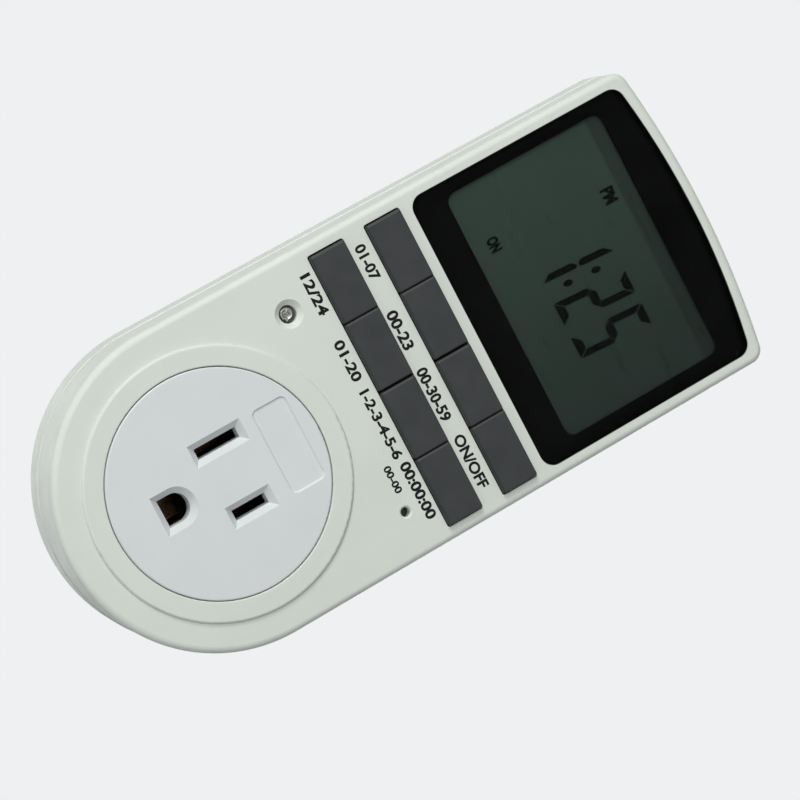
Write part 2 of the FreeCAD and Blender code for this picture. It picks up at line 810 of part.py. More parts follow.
BOSSES = [("head_boss_across", "head_boss_up"), ("-head_boss_across", "head_boss_up"),
          ("foot_boss_across", "foot_boss_up"), ("-foot_boss_across", "foot_boss_up")]
casing_bosses = []
casing_pilots = []
for number, (x, y) in enumerate(BOSSES, start=1):
    top = "%s - front_wall / 2" % face_height(y)
    casing_bosses.append(rod("boss_%d" % number, "back", x, y, ("rear_depth", top), "boss_radius"))
    casing_pilots.append(rod("pilot_%d" % number, "back", x, y,
                             ("rear_depth - 1", "sink_height + screw_length + screw_end_gap"),
                             "screw_radius + thread_gap"))

POSTS = [("post_upper_across", "post_upper_up"), ("-post_upper_across", "post_upper_up"),
         ("post_lower_across", "post_lower_up"), ("-post_lower_across", "post_lower_up")]
board_posts = []
board_pilots = []
for number, (x, y) in enumerate(POSTS, start=1):
    board_posts.append(rod("post_%d" % number, "face", x, y, ("-control_depth", "-front_wall / 2"),
                           "post_radius"))
    board_pilots.append(rod("post_pilot_%d" % number, "face", x, y, ("-control_depth - 1", "-front_wall"),
                            "small_screw + thread_gap"))

EARS = [("ear_across", "ear_right"), ("-ear_across", "ear_left")]
ear_posts = []
ear_pilots = []
for x, side in EARS:
    ear_posts.append(rod(side + "_post", "face", x, 0, ("-ear_depth", "-front_wall / 2"), "post_radius"))
    ear_pilots.append(rod(side + "_pilot", "face", x, 0, ("-ear_depth - 1", "-front_wall"),
                          "small_screw + thread_gap"))

key_windows = []
KEY_ROWS = {"upper": "upper_keys", "lower": "lower_keys"}
for row, up in KEY_ROWS.items():
    opening = body(row + "_key_window", "face", 0, up, "-front_wall - 1")
    opening_sketch = sketch(opening, row + "_key_window_outline")
    rectangle(opening_sketch, ("-key_windows_half", "key_windows_half"),
              ("-window_rows / 2", "window_rows / 2"))
    opening_pad = pad(opening, opening_sketch, row + "_key_window_pad", "front_wall + 2")
    soften(opening, opening_pad, row + "_key_window_corners", "key_window_corner", runs_along_z)
    key_windows.append(opening)

bezel_recess = bezel_plate("bezel_recess", ("-bezel_recess", 1), 0)
opening_x = ("-window_half - panel_margin_x - opening_gap", "window_half + panel_margin_x + opening_gap")
opening_y = ("window_low - panel_margin_y - opening_gap", "window_high + panel_margin_y + opening_gap")
panel_opening = box("panel_opening", "face", opening_x, opening_y, ("-front_wall - frame_thick - 1", 1))
lamp_hole = rod("lamp_hole", "face", "lamp_across", "lamp_up", ("-front_wall - 1", 1),
                "lamp_radius + slide_gap")
dimple = cone("dimple", "face", "lamp_across", "lamp_up", ("-dimple_depth", 0), "lamp_radius + slide_gap",
              "dimple_radius")
pinhole = rod("pinhole", "face", "reset_across", "reset_up", ("-front_wall - 1", 1), "pinhole_radius")
pinhole_lead_in = cone("pinhole_lead_in", "face", "reset_across", "reset_up", ("-lead_in", 0),
                       "pinhole_radius", "pinhole_radius + lead_in")

front_blank = fuse("front_blank", shell, plateau_top, window_frame, *casing_bosses, *board_posts, *ear_posts)
front_casing = cut("front_casing_solid", front_blank, disc_hole, bezel_recess, panel_opening, lamp_hole,
                   dimple, pinhole, pinhole_lead_in, *key_windows, *casing_pilots, *board_pilots, *ear_pilots)
node(front_casing, "front_casing")

# Rear casing: a shallow tray with a rounded back edge, four screw pillars, posts for the power board and the
# blade clamp, and a lip that locates it inside the front casing.
rear_block = casing_prism("rear_block", "-rear_step", (0, "rear_depth"), "corner_radius")
doc.recompute()
rear_tip = rear_block.Tip
rear_round = soften(rear_block, rear_tip, "rear_round", "rear_rounding", level(0.0))
soften(rear_block, rear_round, "rear_rim_round", "rim_rounding", level(SIZES["rear_depth"]))
above_lip = "rear_depth + lip_height + 1"
rear_hollow = casing_prism("rear_hollow", "side_wall + lip_gap + lip_thick", ("rear_wall", above_lip),
                           "corner_radius - rear_wall")
lip_block = casing_prism("lip_block", "side_wall + lip_gap", ("rear_wall", "rear_depth + lip_height"),
                         "corner_radius - side_wall")
lip_notches = []
pillars = []
pillar_holes = []
for number, (x, y) in enumerate(BOSSES, start=1):
    lip_notches.append(rod("lip_notch_%d" % number, "back", x, y, ("rear_depth", above_lip),
                           "boss_radius + 2 * slide_gap"))
    pillars.append(rod("pillar_%d" % number, "back", x, y, ("rear_wall / 2", "sink_height + pillar_floor"),
                       "screw_head + sink_gap + pillar_wall"))
    pillars.append(rod("pillar_top_%d" % number, "back", x, y, ("rear_wall / 2", "rear_depth - rest_gap"),
                       "boss_radius"))
    pillar_holes.append(rod("sink_%d" % number, "back", x, y, (-1, "sink_height"), "screw_head + sink_gap"))
    pillar_holes.append(rod("way_%d" % number, "back", x, y, (0, "rear_depth + 1"),
                            "screw_radius + slide_gap"))
lip = cut("lip_ring", lip_block, *lip_notches)
tray = cut("rear_tray", fuse("rear_outer", rear_block, lip), rear_hollow)

POWER_SCREWS = [("power_screw_across", "power_screw_low"), ("-power_screw_across", "power_screw_low"),
                ("power_screw_across", "power_screw_high"), ("-power_screw_across", "power_screw_high")]
rear_posts = []
rear_pilots = []
for number, (x, y) in enumerate(POWER_SCREWS, start=1):
    rear_posts.append(rod("power_post_%d" % number, "back", x, y, ("rear_wall / 2", "power_height"),
                          "power_post_radius"))
    rear_pilots.append(rod("power_pilot_%d" % number, "back", x, y, ("rear_wall / 2", "power_height + 1"),
                           "small_screw + thread_gap"))
CLAMP_SCREWS = [("clamp_screw_across", "clamp_screw_up"), ("-clamp_screw_across", "clamp_screw_up")]
for number, (x, y) in enumerate(CLAMP_SCREWS, start=1):
    rear_posts.append(rod("clamp_post_%d" % number, "back", x, y, ("rear_wall / 2", "rear_wall + head_thick"),
                          "post_radius"))
    rear_pilots.append(rod("clamp_pilot_%d" % number, "back", x, y,
                           ("rear_wall / 2", "rear_wall + head_thick + 1"), "small_screw + thread_gap"))

line_way = box("line_way", "back", ("blade_pitch / 2 - blade_thick / 2 - thread_gap",
                                    "blade_pitch / 2 + blade_thick / 2 + thread_gap"),
               ("-line_width / 2 - thread_gap", "line_width / 2 + thread_gap"), (-1, "rear_wall + 1"))
neutral_way = box("neutral_way", "back", ("-blade_pitch / 2 - blade_thick / 2 - thread_gap",
                                          "-blade_pitch / 2 + blade_thick / 2 + thread_gap"),
                  ("-neutral_width / 2 - thread_gap", "neutral_width / 2 + thread_gap"),
                  (-1, "rear_wall + 1"))
pin_way = rod("pin_way", "back", 0, "-ground_drop", (-1, "rear_wall + 1"),
              "pin_radius + pin_collar + thread_gap")
rear_label = box("rear_label", "back", ("-rear_label_half", "rear_label_half"),
                 ("rear_label_low", "rear_label_high"), (-1, "label_depth"))
rear_casing = cut("rear_casing_solid", fuse("rear_blank", tray, *pillars, *rear_posts), line_way, neutral_way,
                  pin_way, rear_label, *pillar_holes, *rear_pilots)
node(rear_casing, "rear_casing")

casing_screws = []
for number, (x, y) in enumerate(BOSSES, start=1):
    casing_screws.append(screw("casing_screw_%d" % number, "back", x, y, "sink_height", "screw_radius",
                               "screw_head", "screw_head_thick", "screw_length", True))
node(group("casing_screw_set", *casing_screws), "casing_screws")

# Socket disc: a plug of harder plastic, held behind the front wall by its flange. Funnels lead the blades in.
disc = body("disc", "face")
disc_sketch = sketch(disc, "disc_outline", lift="-front_wall - rest_gap")
circle(disc_sketch, 0, 0, "disc_radius")
disc_pad = pad(disc, disc_sketch, "disc_pad", "front_wall + rest_gap + disc_proud")
disc_edge = soften(disc, disc_pad, "disc_edge", "disc_rounding", level(SIZES["disc_proud"]))
flange_sketch = sketch(disc, "flange_outline", lift="-front_wall - rest_gap - disc_flange_thick")
circle(flange_sketch, 0, 0, "disc_radius + disc_flange")
pad(disc, flange_sketch, "flange_pad", "disc_flange_thick")


def slot_outline(drawing, x, long_side, inset):
    """A blade slot, its long side up the face."""
    rectangle(drawing, ("%s - slot_rim / 2 + (%s)" % (x, inset), "%s + slot_rim / 2 - (%s)" % (x, inset)),
              ("slot_rise - %s / 2 + (%s)" % (long_side, inset),
               "slot_rise + %s / 2 - (%s)" % (long_side, inset)))


def ground_outline(drawing, inset):
    """A hole with a round head and a flat foot."""
    up = size_of("slot_rise - ground_drop")
    wide = size_of("ground_rim")
    foot = up - size_of("ground_flat")
    arc = Part.ArcOfCircle(Part.Circle(Vector(0, up, 0), Vector(0, 0, 1), wide), 0, math.pi)
    drawing.addGeometry(arc, False)
    drawing.addGeometry(Part.LineSegment(Vector(-wide, up, 0), Vector(-wide, foot, 0)), False)
    drawing.addGeometry(Part.LineSegment(Vector(-wide, foot, 0), Vector(wide, foot, 0)), False)
    drawing.addGeometry(Part.LineSegment(Vector(wide, foot, 0), Vector(wide, up, 0)), False)
    for first, second in ((0, 1), (1, 2), (2, 3), (3, 0)):
        drawing.addConstraint(Sketcher.Constraint("Coincident", first, 2, second, 1))
    drawing.addConstraint(Sketcher.Constraint("Vertical", 1))
    drawing.addConstraint(Sketcher.Constraint("Vertical", 3))
    drawing.addConstraint(Sketcher.Constraint("Horizontal", 2))
    pin_point(drawing, "right", 0, 1, "ground_rim - (%s)" % inset, "slot_rise - ground_drop")
    pin_point(drawing, "left", 0, 2, "-ground_rim + (%s)" % inset, "slot_rise - ground_drop")
    fix(drawing, "centre", "DistanceY", -1, 1, 0, 3, size="slot_rise - ground_drop")
    fix(drawing, "flat", "DistanceY", -1, 1, 1, 2,
        size="slot_rise - ground_drop - ground_flat + (%s)" % inset)


taper = "-atan(funnel_inset / funnel_depth)"
through = "disc_proud + front_wall + disc_flange_thick + 1"
for name, x, rim in (("line", "blade_pitch / 2", "line_rim"), ("neutral", "-blade_pitch / 2", "neutral_rim")):
    mouth = sketch(disc, name + "_mouth", lift="disc_proud")
    slot_outline(mouth, x, rim, 0)
    pocket(disc, mouth, name + "_funnel", "funnel_depth", taper)
    throat = sketch(disc, name + "_throat", lift="disc_proud")
    slot_outline(throat, x, rim, "funnel_inset")
    pocket(disc, throat, name + "_slot", through)
ground_mouth = sketch(disc, "ground_mouth", lift="disc_proud")
ground_outline(ground_mouth, 0)
pocket(disc, ground_mouth, "ground_funnel", "funnel_depth", taper)
ground_throat = sketch(disc, "ground_throat", lift="disc_proud")
ground_outline(ground_throat, "funnel_inset")
pocket(disc, ground_throat, "ground_slot", through)
label_sketch = sketch(disc, "label_outline", lift="disc_proud")
rounded(label_sketch, "label_width / 2", "label_rise - label_height / 2", "label_rise + label_height / 2",
        "label_corner")
pocket(disc, label_sketch, "label_recess", "label_depth", "-atan(label_bevel / label_depth)")
node(disc, "socket_face")

# Contact carrier: a moulded drum behind the disc with a pocket for each contact, and two ears that are
# screwed to posts of the front casing.
drum = rod("drum", "face", 0, 0, ("-carrier_back", "-front_wall - rest_gap - disc_flange_thick"),
           "carrier_radius")
ears = []
ear_ways = []
for x, side in EARS:
    inner = "carrier_radius - 2"
    outer = "ear_across + post_radius"
    bounds = (inner, outer) if side == "ear_right" else ("-(%s)" % outer, "-(%s)" % inner)
    ears.append(box(side, "face", bounds, ("-post_radius", "post_radius"),
                    ("-ear_depth - ear_thick", "-ear_depth")))
    ear_ways.append(rod(side + "_way", "face", x, 0, ("-ear_depth - ear_thick - 1", "-ear_depth + 1"),
                        "small_screw + slide_gap"))
pockets = []
for name, x, rim in (("line", "blade_pitch / 2", "line_rim"), ("neutral", "-blade_pitch / 2", "neutral_rim")):
    pockets.append(box(name + "_pocket", "face", ("%s - pocket_width / 2" % x, "%s + pocket_width / 2" % x),
                       ("slot_rise - %s / 2" % rim, "slot_rise + %s / 2" % rim), ("-carrier_back - 1", 1)))
pockets.append(box("ground_pocket", "face", ("-ground_room", "ground_room"),
                   ("slot_rise - ground_drop - ground_room", "slot_rise - ground_drop + ground_room"),
                   ("-carrier_back - 1", 1)))
node(cut("carrier_solid", fuse("carrier_blank", drum, *ears), *ear_ways, *pockets), "contact_carrier")
carrier_screws = []
for x, side in EARS:
    carrier_screws.append(screw(side + "_screw", "face", x, 0, "-ear_depth - ear_thick", "small_screw",
                                "small_head", "small_head_thick", "ear_thick + screw_bite", True))
node(group("carrier_screw_set", *carrier_screws), "carrier_screws")


# Contacts: a brass strip bent to a fork whose jaws grip the blade, drawn in side view and as tall as the
# strip. The line contact has a lug for the switched lead.
def fork(name, x, up, height, jaw, half):
    owner = body(name, "face", x, up, 0)
    drawing = sketch(owner, name + "_bend", "XZ_Plane")
    flare = "(%s) + jaw_flare" % jaw
    polygon(drawing, [
        ("-(%s)" % half, "-contact_back"), (half, "-contact_back"), (half, "-contact_root"),
        ("(%s) + strip_thick" % jaw, "-contact_pinch"), ("(%s) + strip_thick" % flare, "-contact_front"),
        (flare, "-contact_front"), (jaw, "-contact_pinch"), ("(%s) - strip_thick" % half, "-contact_root"),
        ("(%s) - strip_thick" % half, "-contact_back + strip_thick"),
        ("-(%s) + strip_thick" % half, "-contact_back + strip_thick"),
        ("-(%s) + strip_thick" % half, "-contact_root"), ("-(%s)" % jaw, "-contact_pinch"),
        ("-(%s)" % flare, "-contact_front"), ("-(%s) - strip_thick" % flare, "-contact_front"),
        ("-(%s) - strip_thick" % jaw, "-contact_pinch"), ("-(%s)" % half, "-contact_root")])
    pad(owner, drawing, name + "_strip", height, both=True)
    return owner


lug_x = ("blade_pitch / 2 - strip_thick", "blade_pitch / 2")
lug_foot = box("lug_foot", "face", lug_x, ("slot_rise + lug_low", "slot_rise + lug_high"),
               ("-contact_back", "-contact_back + strip_thick"))
lug_end = box("lug_end", "face", lug_x, ("slot_rise + lug_neck", "slot_rise + lug_high"),
              ("-contact_back - lug_reach", "-contact_back + strip_thick"))
line_fork = fork("line_fork", "blade_pitch / 2", "slot_rise", "contact_height", "jaw_half", "contact_half")
node(fuse("line_contact_solid", line_fork, lug_foot, lug_end), "line_contact")
node(fork("neutral_fork", "-blade_pitch / 2", "slot_rise", "contact_height", "jaw_half", "contact_half"),
     "neutral_contact")
node(fork("ground_fork", 0, "slot_rise - ground_drop", "ground_contact_height", "pin_radius - pin_grip",
          "ground_contact_half"), "ground_contact")


# Plug blades: flat brass with tapered tips and an eye, locked by shoulders against the inside of the back.
def blade(name, x, width):
    owner = body(name, "back", x, 0, 0)
    drawing = sketch(owner, name + "_profile", "YZ_Plane")
    half = "%s / 2" % width
    wide = "%s / 2 + head_shoulder" % width
    top = "rear_wall + head_thick"
    polygon(drawing, [
        ("-%s" % half, "rear_wall"), ("-%s" % half, "-blade_reach + blade_taper"),
        ("-%s + blade_taper" % half, "-blade_reach"), ("%s - blade_taper" % half, "-blade_reach"),
        (half, "-blade_reach + blade_taper"), (half, "rear_wall"), (wide, "rear_wall"), (wide, top),
        ("tab_half", top), ("tab_half", "tab_top"), ("-tab_half", "tab_top"), ("-tab_half", top),
        ("-(%s)" % wide, top), ("-(%s)" % wide, "rear_wall")])
    circle(drawing, 0, "-blade_reach + blade_eye_from_tip", "blade_eye")
    pad(owner, drawing, name + "_strip", "blade_thick", both=True)
    return owner


node(blade("line_blade_body", "blade_pitch / 2", "line_width"), "line_blade")
node(blade("neutral_blade_body", "-blade_pitch / 2", "neutral_width"), "neutral_blade")
pin_bar = rod("pin_bar", "back", 0, "-ground_drop", ("-pin_reach + pin_radius", "rear_wall"), "pin_radius")
pin_tip = ball("pin_tip", "back", 0, "-ground_drop", "-pin_reach + pin_radius", "pin_radius")
pin_root = cone("pin_root", "back", 0, "-ground_drop", ("-pin_root_rise", 0), "pin_radius",
                "pin_radius + pin_collar")
pin_shank = rod("pin_shank", "back", 0, "-ground_drop", (0, "rear_wall"), "pin_radius + pin_collar")
pin_head = rod("pin_head", "back", 0, "-ground_drop", ("rear_wall", "rear_wall + head_thick"),
               "pin_radius + head_shoulder")
pin_stub = rod("pin_stub", "back", 0, "-ground_drop", ("rear_wall", "tab_top"), "tab_half")
node(fuse("ground_pin_solid", pin_bar, pin_tip, pin_root, pin_shank, pin_head, pin_stub), "ground_pin")

# Blade clamp: an insulating plate over the heads of the blades.
clamp_z = ("rear_wall + head_thick", "rear_wall + head_thick + clamp_thick")
clamp_cut = ("rear_wall", "tab_top")
clamp_plate = box("clamp_plate", "back", ("-clamp_half", "clamp_half"), ("clamp_low", "clamp_high"), clamp_z)
tab_ways = []
for name, x in (("line", "blade_pitch / 2"), ("neutral", "-blade_pitch / 2")):
    tab_ways.append(box(name + "_tab_way", "back", ("%s - blade_thick / 2 - slide_gap" % x,
                                                    "%s + blade_thick / 2 + slide_gap" % x),
                        ("-tab_half - slide_gap", "tab_half + slide_gap"), clamp_cut))
tab_ways.append(rod("pin_tab_way", "back", 0, "-ground_drop", clamp_cut, "tab_half + slide_gap"))
for number, (x, y) in enumerate(CLAMP_SCREWS, start=1):
    tab_ways.append(rod("clamp_way_%d" % number, "back", x, y, clamp_cut, "small_screw + slide_gap"))
node(cut("clamp_solid", clamp_plate, *tab_ways), "blade_clamp")
clamp_screws = []
for number, (x, y) in enumerate(CLAMP_SCREWS, start=1):
    clamp_screws.append(screw("clamp_screw_%d" % number, "back", x, y, clamp_z[1], "small_screw",
                              "small_head", "small_head_thick", "clamp_thick + screw_bite", False))
node(group("clamp_screw_set", *clamp_screws), "clamp_screws")

# Straps from the blade tabs straight up to the contacts in front of them.
strap_foot = "rear_wall + head_thick + clamp_thick + rest_gap"
contact_foot = "%s - contact_back - strap_gap" % face_height("0")
node(box("neutral_strap_bar", "back", ("-blade_pitch / 2 + blade_thick / 2",
                                       "-blade_pitch / 2 + blade_thick / 2 + strip_thick"),
         ("-tab_half", "tab_half"), (strap_foot, contact_foot)), "neutral_strap")
ground_foot = "%s - contact_back - strap_gap" % face_height("-ground_drop")
node(box("ground_strap_bar", "back", ("tab_half", "tab_half + strip_thick"),
         ("-ground_drop - tab_half", "-ground_drop + tab_half"), (strap_foot, ground_foot)), "ground_strap")


# Leads: insulated wire that runs up over the clamp and turns down into the power board.
def lead(name, x, start):
    owner = body(name, "back", x, start, "lead_height")
    landing = "power_low + lead_landing - (%s)" % start
    bend_from = "%s - lead_bend" % landing
    foot = "power_height + board_thick - lead_height"
    turn = size_of("lead_bend")
    reach = size_of(bend_from)
    drawing = sketch(owner, name + "_route", "YZ_Plane")
    drawing.addGeometry(Part.LineSegment(Vector(0, 0, 0), Vector(reach, 0, 0)), False)
    bend = Part.Circle(Vector(reach, -turn, 0), Vector(0, 0, 1), turn)
    drawing.addGeometry(Part.ArcOfCircle(bend, 0, math.pi / 2), False)
    drawing.addGeometry(Part.LineSegment(Vector(reach + turn, -turn, 0),
                                         Vector(reach + turn, size_of(foot), 0)), False)
    drawing.addConstraint(Sketcher.Constraint("Coincident", 0, 2, 1, 2))
    drawing.addConstraint(Sketcher.Constraint("Coincident", 1, 1, 2, 1))
    pin_point(drawing, "start", 0, 1, 0, 0)
    pin_point(drawing, "bend", 0, 2, bend_from, 0)
    pin_point(drawing, "centre", 1, 3, bend_from, "-lead_bend")
    fix(drawing, "turned", "DistanceY", -1, 1, 1, 1, size="-lead_bend")
    pin_point(drawing, "end", 2, 2, landing, foot)
    profile = sketch(owner, name + "_section", "XZ_Plane")
    circle(profile, 0, 0, "lead_radius")
    doc.recompute()
    pipe = owner.newObject("PartDesign::AdditivePipe", name + "_pipe")
    pipe.Profile = profile
    pipe.Spine = (drawing, [])
    return owner


beside_line = "blade_pitch / 2 + blade_thick / 2 + lead_radius"
node(lead("line_lead_body", beside_line, "-tab_half"), "line_lead")
node(lead("neutral_lead_body", "-(%s)" % beside_line, "-tab_half"), "neutral_lead")
node(lead("load_lead_body", "blade_pitch / 2 - strip_thick - lead_radius", "tab_half + strip_thick"),
     "load_lead")

# Display: a clear lens over a black mask in the recess, the panel in the opening below, its holder and the
# two elastomer strips that join it to the control board.
lens = bezel_plate("lens", ("-bezel_recess + mask_thick", "-bezel_recess + mask_thick + lens_thick"),
                   "bezel_gap")
node(lens, "display_lens")
mask_plate = bezel_plate("mask_plate", ("-bezel_recess", "-bezel_recess + mask_thick"), "bezel_gap")
window = body("window", "face", 0, 0, "-bezel_recess - 1")
window_sketch = sketch(window, "window_outline")
rectangle(window_sketch, ("-window_half", "window_half"), ("window_low", "window_high"))
window_pad = pad(window, window_sketch, "window_pad", 3)
soften(window, window_pad, "window_corners", "window_corner", runs_along_z)
node(cut("mask_solid", mask_plate, window), "display_mask")

panel_x = ("-window_half - panel_margin_x", "window_half + panel_margin_x")
panel_y = ("window_low - panel_margin_y", "window_high + panel_margin_y")
panel_top = "-bezel_recess - panel_gap"
panel_low = "-bezel_recess - panel_gap - panel_thick"
node(box("panel", "face", panel_x, panel_y, (panel_low, panel_top)), "lcd_panel")
holder_block = box("holder_block", "face", ("%s - holder_wall" % panel_x[0], "%s + holder_wall" % panel_x[1]),
                   ("%s - holder_wall" % panel_y[0], "control_high"),
                   ("-control_depth", "-front_wall - frame_thick - rest_gap"))
holder_hole = box("holder_hole", "face", ("%s - rest_gap" % panel_x[0], "%s + rest_gap" % panel_x[1]),
                  ("%s - rest_gap" % panel_y[0], "%s + rest_gap" % panel_y[1]), ("-control_depth - 1", 1))
node(cut("holder_solid", holder_block, holder_hole), "lcd_holder")
strip_x = ("-window_half", "window_half")
lower_strip = box("lower_strip", "face", strip_x, (panel_y[0], "%s + connector_width" % panel_y[0]),
                  ("-control_depth", panel_low))
upper_strip = box("upper_strip", "face", strip_x, ("%s - connector_width" % panel_y[1], panel_y[1]),
                  ("-control_depth", panel_low))
node(group("connector_set", lower_strip, upper_strip), "lcd_connectors")

# Keys: a cap through the window, a flange that stops it under the front wall and a stem with the contact
# pill.
KEY_NAMES = {"upper": ["key_day", "key_hour", "key_minute", "key_recall"],
             "lower": ["key_clock", "key_program", "key_mode", "key_random"]}
KEY_PLACES = ["-key_far", "-key_near", "key_near", "key_far"]
stem_low = "-control_depth + key_travel + stem_gap"
mat_domes = []
mat_ways = []
for row, up in KEY_ROWS.items():
    for label, across in zip(KEY_NAMES[row], KEY_PLACES):
        key = body(label + "_body", "face", across, up, 0)
        cap_sketch = sketch(key, label + "_cap", lift="-front_wall - rest_gap - key_flange_thick")
        rectangle(cap_sketch, ("-key_half", "key_half"),
                  ("-window_rows / 2 + slide_gap", "window_rows / 2 - slide_gap"))
        cap = pad(key, cap_sketch, label + "_cap_pad",
                  "front_wall + rest_gap + key_flange_thick + key_proud")
        corners = soften(key, cap, label + "_corners", "key_corner", runs_along_z)
        soften(key, corners, label + "_crown", "key_rounding", level(SIZES["key_proud"]))
        flange = sketch(key, label + "_flange", lift="-front_wall - rest_gap - key_flange_thick")
        rectangle(flange, ("-key_half", "key_half"),
                  ("-window_rows / 2 - key_flange", "window_rows / 2 + key_flange"))
        pad(key, flange, label + "_flange_pad", "key_flange_thick")
        stem = sketch(key, label + "_stem", lift=stem_low)
        circle(stem, 0, 0, "key_stem")
        pad(key, stem, label + "_stem_pad", "-(%s) - front_wall" % stem_low)
        node(key, label)
        dome_top = "-control_depth + mat_sheet + mat_dome_height"
        mat_domes.append(cone(label + "_dome", "face", across, up,
                              ("-control_depth + mat_sheet / 2", dome_top), "mat_dome_low", "mat_dome_high"))
        mat_ways.append(rod(label + "_way", "face", across, up, ("-control_depth - 1", "-front_wall"),
                            "key_stem + rest_gap"))
mat_sheet = box("mat_sheet_block", "face", ("-key_windows_half + mat_inset", "key_windows_half - mat_inset"),
                ("lower_keys - window_rows / 2 - mat_margin", "upper_keys + window_rows / 2 + mat_margin"),
                ("-control_depth", "-control_depth + mat_sheet"))
node(cut("mat_solid", fuse("mat_blank", mat_sheet, *mat_domes), *mat_ways), "key_mat")

# Indicator lamp: a clear three millimetre lamp whose dome fills the dimple's hole.
lamp_x = "lamp_across"
lamp_y = "lamp_up"
dome_middle = "-lamp_radius - lamp_sink"
lamp_dome = ball("lamp_dome", "face", lamp_x, lamp_y, dome_middle, "lamp_radius")
lamp_stem = rod("lamp_stem", "face", lamp_x, lamp_y, ("-lamp_foot", dome_middle), "lamp_radius")
lamp_rim = rod("lamp_rim", "face", lamp_x, lamp_y, ("-lamp_foot", "-lamp_foot + lamp_rim_thick"),
               "lamp_radius + lamp_rim_wide")
LAMP_LEGS = ((1, -1), (2, 1))
lamp_legs = [rod("lamp_leg_%d" % n, "face", "lamp_across + %g * lamp_leg_pitch / 2" % side, lamp_y,
                 ("-control_depth - board_thick - lamp_leg_end", "-lamp_foot + lamp_rim_thick / 2"),
                 "lamp_leg_radius") for n, side in LAMP_LEGS]
node(fuse("lamp_solid", lamp_dome, lamp_stem, lamp_rim, *lamp_legs), "indicator_lamp")

# Reset switch behind the pinhole, with its plunger.
reset_top = "-control_depth + reset_height"
reset_case = box("reset_case", "face", ("reset_across - reset_body / 2", "reset_across + reset_body / 2"),
                 ("reset_up - reset_body / 2", "reset_up + reset_body / 2"), ("-control_depth", reset_top))
reset_well = rod("reset_well", "face", "reset_across", "reset_up", ("-control_depth + reset_floor", 1),
                 "plunger_radius + thread_gap")
node(cut("reset_switch_solid", reset_case, reset_well), "reset_switch")
node(rod("plunger_bar", "face", "reset_across", "reset_up",
         ("-control_depth + reset_floor + reset_travel + rest_gap", "%s + plunger_proud" % reset_top),
         "plunger_radius"), "reset_plunger")

# Control board and what it carries on its back.
board_z = ("-control_depth - board_thick", "-control_depth")
control_plate = box("control_plate", "face", ("-control_half", "control_half"),
                    ("control_low", "control_high"), board_z)
through_board = ("-control_depth - board_thick - 1", "-control_depth + 1")
control_holes = [rod("control_bay", "face", 0, 0, through_board, "carrier_radius + carrier_room")]
for number, (x, y) in enumerate(POSTS, start=1):
    control_holes.append(rod("control_hole_%d" % number, "face", x, y, through_board,
                             "small_screw + slide_gap"))
for number, side in LAMP_LEGS:
    control_holes.append(rod("leg_hole_%d" % number, "face", "lamp_across + %g * lamp_leg_pitch / 2" % side,
                             lamp_y, through_board, "lamp_leg_radius + rest_gap"))
node(cut("control_board_solid", control_plate, *control_holes), "control_board")
control_screws = []
for number, (x, y) in enumerate(POSTS, start=1):
    control_screws.append(screw("control_screw_%d" % number, "face", x, y, board_z[0], "small_screw",
                                "small_head", "small_head_thick", "board_thick + screw_bite", True))
node(group("control_screw_set", *control_screws), "control_board_screws")

board_back = board_z[0]
blob_y = "window_low + blob_up"
blob_edge = "%s - blob_edge_thick" % board_back
blob_foot = rod("blob_foot", "face", "blob_across", blob_y, (blob_edge, board_back), "blob_radius")
blob_crown = cone("blob_crown", "face", "blob_across", blob_y, ("%s - blob_rise" % board_back, blob_edge),
                  "blob_radius - blob_slope", "blob_radius")
node(fuse("blob_solid", blob_foot, blob_crown), "processor_blob")
crystal_x = ("crystal_across - crystal_length / 2", "crystal_across + crystal_length / 2")
node(rod("crystal_can", "face", crystal_x, "window_low + crystal_up", "%s - crystal_radius" % board_back,
         "crystal_radius"), "clock_crystal")
cell_top = "%s - tab_thick" % board_back
cell_low = "%s - tab_thick - cell_thick" % board_back
node(rod("cell", "face", "cell_across", "cell_up", (cell_low, cell_top), "cell_radius"), "memory_battery")
tab_y = ("cell_up - cell_tab_half", "cell_up + cell_tab_half")
tab_end = "cell_across + cell_radius + cell_tab_past"
near_tab = box("near_tab", "face",
               ("cell_across - cell_radius - cell_tab_past", "cell_across + cell_tab_bite"), tab_y,
               (cell_top, board_back))
far_tab_bar = box("far_tab_bar", "face", ("cell_across - cell_tab_bite", tab_end), tab_y,
                  ("%s - tab_thick" % cell_low, cell_low))
far_tab_leg = box("far_tab_leg", "face", ("%s - tab_thick" % tab_end, tab_end), tab_y,
                  ("%s - tab_thick" % cell_low, board_back))
node(group("battery_tab_set", near_tab, fuse("far_tab", far_tab_bar, far_tab_leg)), "battery_tabs")
chips = []
chip_y = ("window_low - chip_drop", "window_low - chip_drop + chip_width")
for number in range(6):
    across = "chip_across + %d * chip_pitch" % number
    chips.append(box("chip_%d" % number, "face", (across, "%s + chip_length" % across), chip_y,
                     ("%s - chip_thick" % board_back, board_back)))
node(group("chip_set", *chips), "chip_resistors")

# Power board in the rear casing.
power_top = "power_height + board_thick"
power_plate = box("power_plate", "back", ("-power_half", "power_half"), ("power_low", "power_high"),
                  ("power_height", power_top))
power_holes = []
power_screws = []
for number, (x, y) in enumerate(POWER_SCREWS, start=1):
    power_holes.append(rod("power_hole_%d" % number, "back", x, y, ("power_height - 1", "power_height + 3"),
                           "small_screw + slide_gap"))
    power_screws.append(screw("power_screw_%d" % number, "back", x, y, power_top, "small_screw", "small_head",
                              "small_head_thick", "board_thick + screw_bite", False))
node(cut("power_board_solid", power_plate, *power_holes), "power_board")
node(group("power_screw_set", *power_screws), "power_board_screws")

